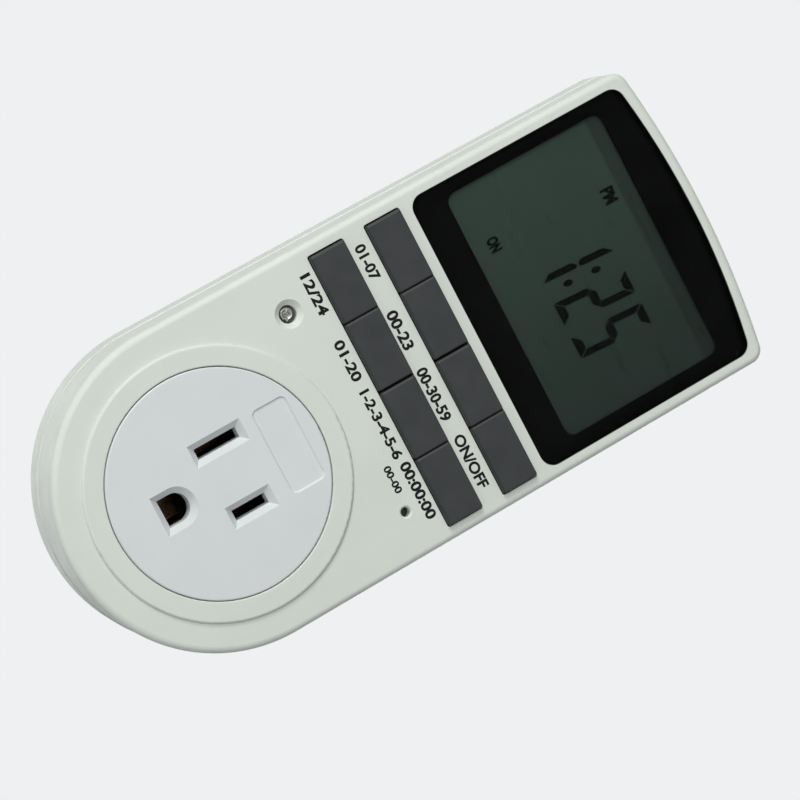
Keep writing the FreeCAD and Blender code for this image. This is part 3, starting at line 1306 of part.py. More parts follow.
# Relay: the armature swings on the end of the yoke and pushes the moving contact to the fixed one.
relay_x = ("relay_left", "relay_left + relay_length")
relay_y = ("relay_low", "relay_low + relay_width")
relay_top = "%s + relay_tall" % power_top
floor_top = "%s + relay_floor" % power_top
relay_inner_x = ("relay_left + relay_wall", "relay_left + relay_length - relay_wall")
relay_inner_y = ("relay_low + relay_wall", "relay_low + relay_width - relay_wall")
floor_x = ("%s + rest_gap" % relay_inner_x[0], "%s - rest_gap" % relay_inner_x[1])
floor_y = ("%s + rest_gap" % relay_inner_y[0], "%s - rest_gap" % relay_inner_y[1])
node(box("relay_floor_block", "back", floor_x, floor_y, (power_top, floor_top)), "relay_base")
relay_outer = box("relay_outer", "back", relay_x, relay_y, (power_top, relay_top))
relay_inner = box("relay_inner", "back", relay_inner_x, relay_inner_y,
                  ("power_height", "%s - relay_wall" % relay_top))
node(cut("relay_case_solid", relay_outer, relay_inner), "relay_case")

coil_up = "(relay_low + relay_wall + coil_inset + bobbin_radius)"
limb_top = "(%s + iron_thick)" % floor_top
coil_high = "(%s + bobbin_radius + coil_gap)" % limb_top
iron_y = ("%s - bobbin_radius" % coil_up, "%s + bobbin_radius" % coil_up)
yoke_left = "(relay_left + relay_wall + yoke_inset)"
hinge_x = "(%s + yoke_length)" % yoke_left
core = rod("core", "back", (yoke_left, "%s - core_gap" % hinge_x), coil_up, coil_high, "core_radius")
iron_head = "%s + bobbin_radius - iron_short" % coil_high
yoke_back = box("yoke_back", "back", (yoke_left, "%s + iron_thick" % yoke_left), iron_y,
                (floor_top, iron_head))
yoke_limb = box("yoke_limb", "back", (yoke_left, "%s - hinge_gap" % hinge_x), iron_y, (floor_top, limb_top))
node(fuse("yoke_solid", core, yoke_back, yoke_limb), "relay_yoke")

spool_left = "(%s + iron_thick + rest_gap)" % yoke_left
spool_right = "(%s - spool_end_gap)" % hinge_x
spool_tube = rod("spool_tube", "back", (spool_left, spool_right), coil_up, coil_high,
                 "core_radius + spool_tube_thick")
spool_near = rod("spool_near", "back", (spool_left, "%s + spool_flange" % spool_left), coil_up, coil_high,
                 "bobbin_radius")
spool_far = rod("spool_far", "back", ("%s - spool_flange" % spool_right, spool_right), coil_up, coil_high,
                "bobbin_radius")
spool_bore = rod("spool_bore", "back", ("%s - 1" % spool_left, "%s + 1" % spool_right), coil_up, coil_high,
                 "core_radius + thread_gap")
node(cut("bobbin_solid", fuse("bobbin_blank", spool_tube, spool_near, spool_far), spool_bore), "relay_bobbin")
wound = rod("wound", "back", ("%s + spool_flange + coil_gap" % spool_left,
                              "%s - spool_flange - coil_gap" % spool_right), coil_up, coil_high,
            "coil_radius")
wound_bore = rod("wound_bore", "back", (spool_left, spool_right), coil_up, coil_high,
                 "core_radius + spool_tube_thick + coil_gap")
node(cut("winding_solid", wound, wound_bore), "relay_winding")

contact_up = "(%s + bobbin_radius + contact_clear)" % coil_up
contact_high = "(%s + contact_rise)" % floor_top
armature_y = ("%s - bobbin_radius" % coil_up, "%s + armature_half" % contact_up)
pivot_high = "(%s + rest_gap + iron_thick / 2)" % floor_top
pivot_bead = rod("pivot_bead", "back", "%s + iron_thick / 2" % hinge_x, armature_y, pivot_high,
                 "iron_thick / 2")
armature_plate = box("armature_plate", "back", (hinge_x, "%s + iron_thick" % hinge_x), armature_y,
                     (pivot_high, iron_head))
moving_button = rod("moving_button", "back", ("%s - button_rise" % hinge_x, "%s + 0.1" % hinge_x),
                    contact_up, contact_high, "button_radius")
node(fuse("armature_solid", pivot_bead, armature_plate, moving_button), "relay_armature")
fixed_left = "(%s - button_rise - contact_gap - fixed_rise)" % hinge_x
fixed_strip = box("fixed_strip", "back", ("%s - fixed_thick" % fixed_left, fixed_left),
                  ("%s - fixed_half" % contact_up, "%s + fixed_half" % contact_up),
                  (floor_top, "%s + fixed_half" % contact_high))
fixed_button = rod("fixed_button", "back", ("%s - 0.1" % fixed_left, "%s + fixed_rise" % fixed_left),
                   contact_up, contact_high, "button_radius")
node(fuse("fixed_contact_solid", fixed_strip, fixed_button), "relay_contact")

# Supply parts on the power board.
node(box("dropper_block", "back", ("parts_left", "parts_left + dropper_length"),
         ("dropper_low", "dropper_low + dropper_width"),
         (power_top, "%s + dropper_height" % power_top)), "dropper_capacitor")
smoother_high = "(%s + smoother_radius)" % power_top
smoother_left = "parts_left + smoother_inset"
node(rod("smoother_can", "back", (smoother_left, "%s + smoother_length" % smoother_left), "smoother_up",
         smoother_high, "smoother_radius"), "smoothing_capacitor")
fuse_high = "(%s + fuse_radius + fuse_lift)" % power_top
fuse_left = "parts_left + fuse_inset"
node(rod("fuse_tube", "back", (fuse_left, "%s + fuse_length" % fuse_left), "fuse_up", fuse_high,
         "fuse_radius"), "fuse")
clips = []
for number, left in ((1, fuse_left + " + clip_inset"),
                     (2, fuse_left + " + fuse_length - clip_inset - clip_width")):
    through_clip = ("%s - 1" % left, "%s + clip_width + 1" % left)
    clip_block = box("clip_block_%d" % number, "back", (left, "%s + clip_width" % left),
                     ("fuse_up - fuse_radius - clip_wall", "fuse_up + fuse_radius + clip_wall"),
                     (power_top, "%s + clip_rise" % fuse_high))
    clip_bore = rod("clip_bore_%d" % number, "back", through_clip, "fuse_up", fuse_high,
                    "fuse_radius + thread_gap")
    clip_mouth = box("clip_mouth_%d" % number, "back", through_clip,
                     ("fuse_up - fuse_radius + clip_lip", "fuse_up + fuse_radius - clip_lip"),
                     (fuse_high, "%s + clip_rise + 1" % fuse_high))
    clips.append(cut("clip_%d" % number, clip_block, clip_bore, clip_mouth))
node(group("clip_set", *clips), "fuse_clips")
absorber_left = "parts_left + absorber_inset"
node(rod("absorber_disc", "back", (absorber_left, "%s + absorber_thick" % absorber_left), "absorber_up",
         "(%s + absorber_radius)" % power_top, "absorber_radius"), "surge_absorber")
diodes = []
for number in range(4):
    across = "parts_left + diode_inset + %d * diode_pitch" % number
    diodes.append(rod("diode_body_%d" % number, "back", across, ("diode_low", "diode_low + diode_length"),
                      "%s + diode_radius" % power_top, "diode_radius"))
node(group("diode_set", *diodes), "rectifier_diodes")
resistors = []
for number in range(2):
    left = "parts_left + diode_inset + %d * resistor_pitch" % number
    resistors.append(rod("resistor_%d" % number, "back", (left, "%s + resistor_length" % left), "resistor_up",
                         "%s + resistor_radius" % power_top, "resistor_radius"))
node(group("resistor_set", *resistors), "power_resistors")

# Ribbon lead between the boards, bowed a little.
ribbon = body("ribbon", "back", 0, 0, 0)
ribbon_sketch = sketch(ribbon, "ribbon_bend", "YZ_Plane")
ribbon_top = "%s - (control_depth + board_thick) / cos(front_slope)" % face_height("ribbon_up + 1")
ribbon_middle = "(%s + %s) / 2" % (power_top, ribbon_top)
polygon(ribbon_sketch, [("ribbon_up", power_top), ("ribbon_up + ribbon_thick", power_top),
                        ("ribbon_up + ribbon_bow + ribbon_thick", ribbon_middle),
                        ("ribbon_up + ribbon_thick", ribbon_top), ("ribbon_up", ribbon_top),
                        ("ribbon_up + ribbon_bow", ribbon_middle)])
pad(ribbon, ribbon_sketch, "ribbon_strip", "2 * ribbon_half", both=True)
node(ribbon, "link_ribbon")

doc.recompute()

for thing in doc.Objects:
    if "Invalid" in thing.State or "Error" in thing.State:
        raise RuntimeError("%s did not compute: %s" % (thing.Name, thing.State))
for thing in NODES:
    if thing.Shape.isNull() or not thing.Shape.isValid():
        raise RuntimeError("%s has no valid shape" % thing.Label)
    if not thing.Shape.Solids:
        raise RuntimeError("%s holds no solid" % thing.Label)

os.makedirs("parts", exist_ok=True)
for thing in NODES:
    thing.Shape.exportStep(os.path.join("parts", thing.Label + ".step"))
    low = thing.Shape.BoundBox
    print("%-22s solids %d volume %9.1f  x %6.1f %6.1f  y %6.1f %6.1f  z %6.1f %6.1f" % (
        thing.Label, len(thing.Shape.Solids), thing.Shape.Volume, low.XMin, low.XMax, low.YMin, low.YMax,
        low.ZMin, low.ZMax))
print("%d pieces" % len(NODES))
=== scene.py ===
# %% [markdown]
# # Dressing a plug-in timer
# The timer plugs into a wall outlet and switches the outlet on its own front. Its solids come ready
# made, each in its place. What a solid can't hold is made here: the look of every surface, the print,
# the figures of the display, and parts too thin or too fine to be worth a solid.
#
# The solids are loaded before anything else, so that each later piece is set against a real surface.

# %% Load the solids
import math
import bmesh
import bpy
from mathutils import Matrix, Vector


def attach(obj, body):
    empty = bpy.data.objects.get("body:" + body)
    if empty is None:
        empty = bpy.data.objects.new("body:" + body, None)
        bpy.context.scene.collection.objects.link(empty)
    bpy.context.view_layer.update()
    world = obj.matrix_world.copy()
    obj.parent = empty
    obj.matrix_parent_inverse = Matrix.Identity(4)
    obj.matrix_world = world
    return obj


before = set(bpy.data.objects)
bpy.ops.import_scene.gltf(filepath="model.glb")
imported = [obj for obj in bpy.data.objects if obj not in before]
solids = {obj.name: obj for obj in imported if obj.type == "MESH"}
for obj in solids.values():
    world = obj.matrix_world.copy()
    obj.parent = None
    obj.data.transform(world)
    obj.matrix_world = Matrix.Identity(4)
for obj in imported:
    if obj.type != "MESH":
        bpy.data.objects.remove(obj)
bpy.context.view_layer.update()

# %% [markdown]
# ## Axes that lie in the sloped front
# The front leans back by 3.7 degrees, so nothing on it is square to the room. Each place on it could be
# worked out by hand, but a second set of axes is simpler: across to the right, up the slope, and out of
# the face, with zero at the middle of the outlet. Millimetres are used on the face, because that is how
# such a part is drawn.

# %% Axes of the front
MM = 0.001
lean = math.radians(3.7)
outlet_middle = Vector((0, -26.0, -3.1534)) * MM
across = Vector((1, 0, 0))
up_slope = Vector((0, math.sin(lean), math.cos(lean)))
outward = Vector((0, -math.cos(lean), math.sin(lean)))


def on_front(x, up, out=0.0):
    """A place on the front in metres, from millimetres across, up the slope and out of the face."""
    return outlet_middle + (across * x + up_slope * up + outward * out) * MM


display_up = 78.0
print("middle of the display:", [round(v, 4) for v in on_front(0, display_up)])

# %% [markdown]
# ## Camera
# The picture was taken with a long lens, from the left of the timer and a little below its middle, and
# the timer lies aslant in the frame. A camera can be aimed with a constraint, but then its roll is hard
# to state. Here the line of sight is made from two points, and the roll is one plain number.

# %% Camera
eye = Vector((-0.0738, -0.5855, -0.0812))
aim = Vector((0.0030, -0.0237, 0.0329))
roll = math.radians(60.78)
lens = 146.1

camera = bpy.data.objects.new("camera", bpy.data.cameras.new("camera"))
camera.data.lens = lens
camera.data.sensor_width = 36.0
camera.data.clip_start = 0.01
camera.data.clip_end = 20.0
camera.location = eye
camera.rotation_mode = "QUATERNION"
level_view = (aim - eye).to_track_quat("-Z", "Y")
camera.rotation_quaternion = level_view @ Matrix.Rotation(roll, 3, "Z").to_quaternion()
bpy.context.scene.collection.objects.link(camera)
bpy.context.scene.camera = camera
print("distance to the front:", round((aim - eye).length, 3))

# %% [markdown]
# ## Floor, backdrop and lamps
# A plain pale floor lies well below, so that it hides no side of a timer that hangs on its plug. The
# pale backdrop is the world itself, seen by the camera and by gloss and glass, while a dimmer sky does
# the lighting. That way the backdrop's brightness is chosen without washing out the plastic.
#
# Two lamps share most of the work. One stands before the timer and to its left, off the line where the
# flat keys would mirror it. The other stands further round to the left, so that the rounded edges of
# the casing, the disc and its slots are brighter than the flat front and stand out. One lamp half way
# between them would be simpler, but the slots would get harder shadows. A faint one fills from the
# right, and two behind light the back and the plug. All are wide, for soft edges.

# %% Floor and backdrop
scene = bpy.context.scene
scene.view_settings.view_transform = "Standard"


def sheet_mesh(name, corners):
    """A flat mesh through four corners."""
    mesh = bpy.data.meshes.new(name)
    mesh.from_pydata([tuple(corner) for corner in corners], [], [(0, 1, 2, 3)])
    piece = bpy.data.objects.new(name, mesh)
    scene.collection.objects.link(piece)
    return piece


floor_reach = 6.0
floor_height = -0.7
around = [(-1, -1), (1, -1), (1, 1), (-1, 1)]
floor = sheet_mesh("floor", [(x * floor_reach, y * floor_reach, floor_height) for x, y in around])

backdrop_colour = (0.86, 0.87, 0.88, 1)
lighting_colour = (0.93, 0.97, 1.0, 1)
lighting_strength = 0.22

world = bpy.data.worlds.new("studio")
scene.world = world
world.use_nodes = True
sky = world.node_tree
sky.nodes.clear()
rays = sky.nodes.new("ShaderNodeLightPath")
seen = sky.nodes.new("ShaderNodeMath")
seen.operation = "MAXIMUM"
seen_too = sky.nodes.new("ShaderNodeMath")
seen_too.operation = "MAXIMUM"
backdrop = sky.nodes.new("ShaderNodeBackground")
backdrop.inputs["Color"].default_value = backdrop_colour
backdrop.inputs["Strength"].default_value = 1.0
dim_sky = sky.nodes.new("ShaderNodeBackground")
dim_sky.inputs["Color"].default_value = lighting_colour
dim_sky.inputs["Strength"].default_value = lighting_strength
choice = sky.nodes.new("ShaderNodeMixShader")
out = sky.nodes.new("ShaderNodeOutputWorld")
sky.links.new(rays.outputs["Is Camera Ray"], seen.inputs[0])
sky.links.new(rays.outputs["Is Glossy Ray"], seen.inputs[1])
sky.links.new(seen.outputs[0], seen_too.inputs[0])
sky.links.new(rays.outputs["Is Transmission Ray"], seen_too.inputs[1])
sky.links.new(seen_too.outputs[0], choice.inputs[0])
sky.links.new(dim_sky.outputs[0], choice.inputs[1])
sky.links.new(backdrop.outputs[0], choice.inputs[2])
sky.links.new(choice.outputs[0], out.inputs["Surface"])
print("backdrop:", backdrop_colour[:3], "floor at", floor_height)

# %% Lamps
timer_middle = Vector((0, -0.012, 0.034))


def soft_lamp(name, place, width, watts, tint):
    """A square area lamp that faces the timer."""
    lamp = bpy.data.lights.new(name, "AREA")
    lamp.size = width
    lamp.energy = watts
    lamp.color = tint
    stand = bpy.data.objects.new(name, lamp)
    stand.location = place
    stand.rotation_mode = "QUATERNION"
    stand.rotation_quaternion = (timer_middle - Vector(place)).to_track_quat("-Z", "Y")
    scene.collection.objects.link(stand)


WARM = (1.0, 1.0, 0.98)
COOL = (0.98, 0.99, 1.0)
PLAIN = (1.0, 1.0, 1.0)
# name, place, width in metres, watts, tint
LAMPS = [
    ("lamp_front", (-0.45, -0.90, -0.03), 0.45, 4.2, WARM),
    ("lamp_left", (-0.85, -0.55, 0.13), 0.34, 4.9, WARM),
    ("lamp_right", (0.65, -0.85, 0.55), 0.70, 0.6, COOL),
    ("lamp_behind", (0.45, 0.85, 0.45), 0.60, 6.0, PLAIN),
    ("lamp_behind_left", (-0.10, 1.0, -0.3), 0.60, 1.5, PLAIN),
]
for lamp_row in LAMPS:
    soft_lamp(*lamp_row)
print("lamps:", ", ".join(lamp_row[0] for lamp_row in LAMPS))

# %% [markdown]
# ## How a finish is made
# A finish is a material built from nodes, with no pictures. Each has the same few layers: a main colour
# that drifts a little from place to place, a roughness that drifts too, and a fine relief that breaks
# up the highlights. Only what changes over the surface runs through nodes. A value that is the same
# everywhere is set on the shader itself, where other programs can read it.
#
# The noise is fed with object coordinates. They are metres of the real part, so a grain of a quarter
# millimetre stays that size on every piece, and it moves with a key when the key is pressed.

# %% Layers of a finish
COLOUR_SPAN = (0.32, 0.68)
ROUGHNESS_SPAN = (0.3, 0.7)
ROUGHNESS_DETAIL = 3.0


def new_finish(name, colour, roughness, **plain):
    """A finish with its plain values set on the main shader."""
    finish = bpy.data.materials.new(name)
    finish.use_nodes = True
    shader = finish.node_tree.nodes["Principled BSDF"]
    shader.inputs["Base Color"].default_value = (*colour, 1)
    shader.inputs["Roughness"].default_value = roughness
    for socket, value in plain.items():
        shader.inputs[socket.replace("_", " ")].default_value = value
    finish.diffuse_color = (*colour, 1)
    return finish


def shader_of(finish):
    """The main shader of a finish."""
    return finish.node_tree.nodes["Principled BSDF"]


def add_node(finish, kind, **values):
    """A new node in a finish, with some of its inputs set."""
    made = finish.node_tree.nodes.new("ShaderNode" + kind)
    for socket, value in values.items():
        made.inputs[socket].default_value = value
    return made


def wire(finish, start, end):
    """Joins an output to an input."""
    finish.node_tree.links.new(start, end)


def noise_at(finish, size_mm, detail=2.0, stretch=(1, 1, 1)):
    """Noise whose cells are about size_mm across, drawn out along an axis where stretch is small."""
    place = add_node(finish, "TexCoord")
    scaled = add_node(finish, "Mapping")
    scaled.inputs["Scale"].default_value = stretch
    noise = add_node(finish, "TexNoise", Scale=1.0 / (size_mm * MM), Detail=detail)
    wire(finish, place.outputs["Object"], scaled.inputs["Vector"])
    wire(finish, scaled.outputs["Vector"], noise.inputs["Vector"])
    return noise.outputs["Fac"]


def drift_colour(finish, first, second, size_mm, detail=2.0, stretch=(1, 1, 1)):
    """The colour wanders between two near tints."""
    ramp = add_node(finish, "ValToRGB")
    for element, share, colour in zip(ramp.color_ramp.elements, COLOUR_SPAN, (first, second)):
        element.position = share
        element.color = (*colour, 1)
    wire(finish, noise_at(finish, size_mm, detail, stretch), ramp.inputs["Fac"])
    wire(finish, ramp.outputs["Color"], shader_of(finish).inputs["Base Color"])


def drift_roughness(finish, low, high, size_mm, stretch=(1, 1, 1)):
    """The roughness wanders between two values."""
    span = add_node(finish, "MapRange")
    span.inputs["From Min"].default_value, span.inputs["From Max"].default_value = ROUGHNESS_SPAN
    span.inputs["To Min"].default_value = low
    span.inputs["To Max"].default_value = high
    wire(finish, noise_at(finish, size_mm, ROUGHNESS_DETAIL, stretch), span.inputs["Value"])
    wire(finish, span.outputs["Result"], shader_of(finish).inputs["Roughness"])


def relief(finish, size_mm, depth_mm, strength, stretch=(1, 1, 1)):
    """A fine grain that tilts the surface a little."""
    bump = add_node(finish, "Bump", Strength=strength, Distance=depth_mm * MM)
    wire(finish, noise_at(finish, size_mm, stretch=stretch), bump.inputs["Height"])
    wire(finish, bump.outputs["Normal"], shader_of(finish).inputs["Normal"])


def shade_along(finish, direction, start_mm, end_mm, first, second):
    """Painted shade: the colour is dimmed or lifted by a factor that changes along a direction, between two
    places.
    """
    place = add_node(finish, "TexCoord")
    along = add_node(finish, "VectorMath")
    along.operation = "DOT_PRODUCT"
    along.inputs[1].default_value = direction
    span = add_node(finish, "MapRange")
    span.interpolation_type = "SMOOTHSTEP"
    span.inputs["From Min"].default_value = start_mm * MM
    span.inputs["From Max"].default_value = end_mm * MM
    span.inputs["To Min"].default_value = first
    span.inputs["To Max"].default_value = second
    lifted = add_node(finish, "VectorMath")
    lifted.operation = "SCALE"
    colour = shader_of(finish).inputs["Base Color"]
    wire(finish, place.outputs["Object"], along.inputs[0])
    wire(finish, along.outputs["Value"], span.inputs["Value"])
    wire(finish, colour.links[0].from_socket, lifted.inputs[0])
    wire(finish, span.outputs["Result"], lifted.inputs["Scale"])
    wire(finish, lifted.outputs["Vector"], colour)


def dress(finish, *names):
    """Gives solids their finish."""
    for name in names:
        solids[name].data.materials.clear()
        solids[name].data.materials.append(finish)
    print(finish.name, "on", ", ".join(names))


# %% [markdown]
# ## Moulded plastics of the outside
# The casing is ABS with a faint green cast and a fine spark texture, so its highlights are broad. The
# disc of the outlet is another plastic, harder and cooler in colour, with a smoother face. One helper
# could serve both, yet the two differ in every value, so each is written out and can be changed alone.

# %% Casing plastic
casing_plastic = new_finish("casing_plastic", (0.66, 0.70, 0.645), roughness=0.48, Specular_IOR_Level=0.22)
drift_colour(casing_plastic, (0.650, 0.692, 0.634), (0.672, 0.714, 0.656), size_mm=14.0)
drift_roughness(casing_plastic, low=0.44, high=0.53, size_mm=5.0)
relief(casing_plastic, size_mm=0.22, depth_mm=0.012, strength=0.35)
dress(casing_plastic, "front_casing", "rear_casing")

# %% Disc plastic
disc_plastic = new_finish("disc_plastic", (0.66, 0.685, 0.695), roughness=0.34, Specular_IOR_Level=0.45)
drift_colour(disc_plastic, (0.651, 0.676, 0.686), (0.669, 0.694, 0.704), size_mm=9.0)
drift_roughness(disc_plastic, low=0.30, high=0.38, size_mm=4.0)
relief(disc_plastic, size_mm=0.30, depth_mm=0.006, strength=0.25)
dress(disc_plastic, "socket_face")

# %% [markdown]
# ## Keys
# The keys are dark grey plastic caps. Their tops are satin, and their rounded edges catch the light.
# Fingers polish the middle of a key first, so the roughness drifts more than on the casing.

# %% Key plastic
key_plastic = new_finish("key_plastic", (0.036, 0.039, 0.040), roughness=0.36, Specular_IOR_Level=0.25)
drift_colour(key_plastic, (0.033, 0.036, 0.037), (0.040, 0.043, 0.044), size_mm=6.0)
drift_roughness(key_plastic, low=0.31, high=0.42, size_mm=3.0)
relief(key_plastic, size_mm=0.16, depth_mm=0.008, strength=0.35)
keys = ["key_day", "key_hour", "key_minute", "key_recall",
        "key_clock", "key_program", "key_mode", "key_random"]
dress(key_plastic, *keys)

# %% [markdown]
# ## Display window
# The window is a clear plate over a black printed frame. Real acrylic would do for the plate, but light
# that reaches the panel through refracting plastic is slow to compute. A thin veil of gloss that is
# mostly see-through looks the same from the front and lets shadows fall on the panel. The frame behind
# it is printed black, smooth and deep. The same black goes round the plate's narrow sides, or the pale
# wall of its recess would shine through.

# %% Clear plate and black frame
clear_plate = new_finish("clear_plate", (0.01, 0.012, 0.012), roughness=0.06, Alpha=0.035,
                         Specular_IOR_Level=0.5)
drift_roughness(clear_plate, low=0.03, high=0.10, size_mm=8.0)
relief(clear_plate, size_mm=6.0, depth_mm=0.01, strength=0.10)
dress(clear_plate, "display_lens")

frame_print = new_finish("frame_print", (0.0012, 0.0012, 0.0012), roughness=0.22, Specular_IOR_Level=0.03)
drift_colour(frame_print, (0.0009, 0.0009, 0.0009), (0.0016, 0.0016, 0.0016), size_mm=7.0)
relief(frame_print, size_mm=1.5, depth_mm=0.004, strength=0.2)
dress(frame_print, "display_mask")

side_tilt = 0.5  # a side faces across the front, so its normal has less than this along the outward axis
plate_mesh = solids["display_lens"].data
plate_mesh.materials.append(frame_print)
for face in plate_mesh.polygons:
    face.material_index = 1 if abs(face.normal.dot(outward)) < side_tilt else 0
print("black sides of the plate:", sum(face.material_index for face in plate_mesh.polygons))

# %% [markdown]
# The panel is glass over a grey-green reflector. The reflector is brushed foil, so it has a faint
# streak across. A painted shadow darkens the strip at its head, and painted shade darkens the side
# away from the lamps, while the side near them is painted lighter.

# %% Panel glass
panel_glass = new_finish("panel_glass", (0.022, 0.037, 0.029), roughness=0.30, Specular_IOR_Level=0.10)
drift_colour(panel_glass, (0.021, 0.035, 0.027), (0.024, 0.040, 0.032), size_mm=18.0)
drift_roughness(panel_glass, low=0.26, high=0.36, size_mm=2.0, stretch=(0.15, 1, 1))
relief(panel_glass, size_mm=0.4, depth_mm=0.002, strength=0.2, stretch=(0.1, 1, 1))
panel_top = -2.1
panel_half_width = 25.0
head_shadow_up = 92.0
head_shadow_fade = 0.25
# Painted shadow: above this height on the slope the panel's colour is dimmed to 0.62, a dark strip at its
# head.
head_shadow_height = (on_front(0, head_shadow_up, panel_top) / MM).dot(up_slope)
shade_along(panel_glass, up_slope, head_shadow_height - head_shadow_fade, head_shadow_height + head_shadow_fade, first=1.0, second=0.62)
# Painted shade and light: the colour is lifted on the side near the lamps and dimmed on the side away from
# them.
shade_along(panel_glass, across, -panel_half_width, panel_half_width, first=1.36, second=0.76)
dress(panel_glass, "lcd_panel")

# %% [markdown]
# ## Figures of the display
# The figures are segments that the liquid crystal turns dark. Each is a plate two hundredths of a
# millimetre thick on the panel. They could be painted with a material, but a mesh gives crisp mitred
# ends and lets the panel show between them. Only one upright segment and two level ones are drawn. The
# rest are their mirror images, so all the corners match. The digits lean to the right by almost four
# degrees, as they do on such panels.

# %% Segments
digit_height = 15.2
digit_width = 4.55
upright_width = 1.3
level_width = 1.72
seam = 0.12
digit_lean = 0.065
digit_foot = 70.6
waist = digit_height / 2
waist_end = 0.55
upright_notch = 0.5


def mirrored(outline, sideways, upside):
    """An outline turned over within the digit's box."""
    return [(digit_width - x if sideways else x, digit_height - y if upside else y) for x, y in outline]


def slanted(point, left):
    """A point of an upright digit, moved to its place on the panel and leaned over."""
    x, y = point
    return (left + x + y * digit_lean, digit_foot + y)


inner_x = digit_width - upright_width
upright = [(digit_width, digit_height - seam), (digit_width, waist + waist_end),
           (digit_width - upright_notch, waist + seam), (inner_x, waist + level_width / 2 + seam),
           (inner_x, digit_height - level_width - seam)]
head_bar = [(seam, digit_height), (digit_width - seam, digit_height),
            (inner_x - seam, digit_height - level_width), (upright_width + seam, digit_height - level_width)]
waist_bar = [(waist_end, waist), (upright_width, waist + level_width / 2), (inner_x, waist + level_width / 2),
             (digit_width - waist_end, waist), (inner_x, waist - level_width / 2),
             (upright_width, waist - level_width / 2)]
SEGMENTS = {
    "top": head_bar,
    "bottom": mirrored(head_bar, False, True),
    "middle": waist_bar,
    "upper_right": upright,
    "upper_left": mirrored(upright, True, False),
    "lower_right": mirrored(upright, False, True),
    "lower_left": mirrored(upright, True, True),
}
SHOWN = {
    "1": ["upper_right", "lower_right"],
    "2": ["top", "upper_right", "middle", "lower_left", "bottom"],
    "5": ["top", "upper_left", "middle", "lower_right", "bottom"],
}
print("segments for", ", ".join(SHOWN))


# %% [markdown]
# One helper turns outlines on the face into thin plates, which together are one piece. Another puts a
# new piece in the scene and makes it move with the casing, since all the new pieces sit on the casing or
# on what is fixed to it. The figures and the print are black.

# %% Thin plates from outlines
def on_casing(name, mesh, finish):
    """A new piece with its finish, which moves with the casing."""
    mesh.materials.append(finish)
    piece = bpy.data.objects.new(name, mesh)
    scene.collection.objects.link(piece)
    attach(piece, "casing")
    return piece


def thin_plates(name, outlines, foot, thick, finish):
    """Plates with the given outlines, standing on a height of the face."""
    shape = bmesh.new()
    for outline in outlines:
        lower = [shape.verts.new(on_front(x, y, foot)) for x, y in outline]
        upper = [shape.verts.new(on_front(x, y, foot + thick)) for x, y in outline]
        shape.faces.new(list(reversed(lower)))
        shape.faces.new(upper)
        for number in range(len(outline)):
            after = (number + 1) % len(outline)
            shape.faces.new((lower[number], lower[after], upper[after], upper[number]))
    bmesh.ops.recalc_face_normals(shape, faces=shape.faces)
    mesh = bpy.data.meshes.new(name)
    shape.to_mesh(mesh)
    shape.free()
    piece = on_casing(name, mesh, finish)


def round_outline(x, y, across_radius, up_radius, turn, points=24):
    """An ellipse as a list of points."""
    ring = []
    for step in range(points):
        angle = 2 * math.pi * step / points
        dx = across_radius * math.cos(angle)
        dy = up_radius * math.sin(angle)
        ring.append((x + dx * math.cos(turn) - dy * math.sin(turn),
                     y + dx * math.sin(turn) + dy * math.cos(turn)))
    return ring


liquid_crystal = new_finish("liquid_crystal", (0.0018, 0.0028, 0.0024), roughness=0.35,
                            Specular_IOR_Level=0.015)
drift_colour(liquid_crystal, (0.0014, 0.0022, 0.0019), (0.0022, 0.0034, 0.0029), size_mm=1.2)


def digit(figure, left):
    """The outlines of one figure's segments."""
    return [[slanted(point, left) for point in SEGMENTS[name]] for name in SHOWN[figure]]


DIGITS = [("1", -6.65), ("2", 2.0), ("5", 8.75)]
DOTS = [(-0.05, 74.95), (0.35, 80.9)]
dot_across = 0.6
dot_up = 0.98
dot_turn = -0.1
film_thick = 0.02

figures = [outline for figure, left in DIGITS for outline in digit(figure, left)]
figures += [round_outline(x, y, dot_across, dot_up, dot_turn) for x, y in DOTS]
thin_plates("time_shown", figures, panel_top, film_thick, liquid_crystal)
print("plates of the time:", len(figures))

# %% [markdown]
# ## Print
# The casing carries a mark under each key, printed in black ink. The marks here are plain: the run of
# numbers that a key steps through, or on and off. Text objects are the direct way to set type, and
# turning them into meshes keeps the letters the same in any other program. The ink is about two
# hundredths of a millimetre thick.

# %% Ink and letters
ink = new_finish("ink", (0.006, 0.0065, 0.0065), roughness=0.5, Specular_IOR_Level=0.12)
drift_colour(ink, (0.005, 0.0055, 0.0055), (0.009, 0.0095, 0.0095), size_mm=0.8)
drift_roughness(ink, low=0.42, high=0.60, size_mm=0.5)


def set_type(name, words, x, y, height, width, out, finish, weight=0.035):
    """Words centred on a place of the front, fitted to a height and a width in millimetres.

    The weight thickens the strokes, as a share of the letters' height.
    """
    letters = bpy.data.curves.new(name, "FONT")
    letters.body = words
    letters.align_x = "CENTER"
    letters.align_y = "CENTER"
    letters.size = 1.0
    letters.offset = weight
    letters.extrude = film_thick / 2
    letters.resolution_u = 4
    text = bpy.data.objects.new(name, letters)
    scene.collection.objects.link(text)
    bpy.context.view_layer.update()
    mesh = bpy.data.meshes.new_from_object(text.evaluated_get(bpy.context.evaluated_depsgraph_get()))
    bpy.data.objects.remove(text)
    low = Vector([min(v.co[axis] for v in mesh.vertices) for axis in range(3)])
    high = Vector([max(v.co[axis] for v in mesh.vertices) for axis in range(3)])
    for vertex in mesh.vertices:
        part = [(vertex.co[axis] - low[axis]) / (high[axis] - low[axis]) for axis in range(3)]
        vertex.co = on_front(x + (part[0] - 0.5) * width, y + (part[1] - 0.5) * height,
                             out + part[2] * film_thick)
    mesh.materials.clear()
    piece = on_casing(name, mesh, finish)


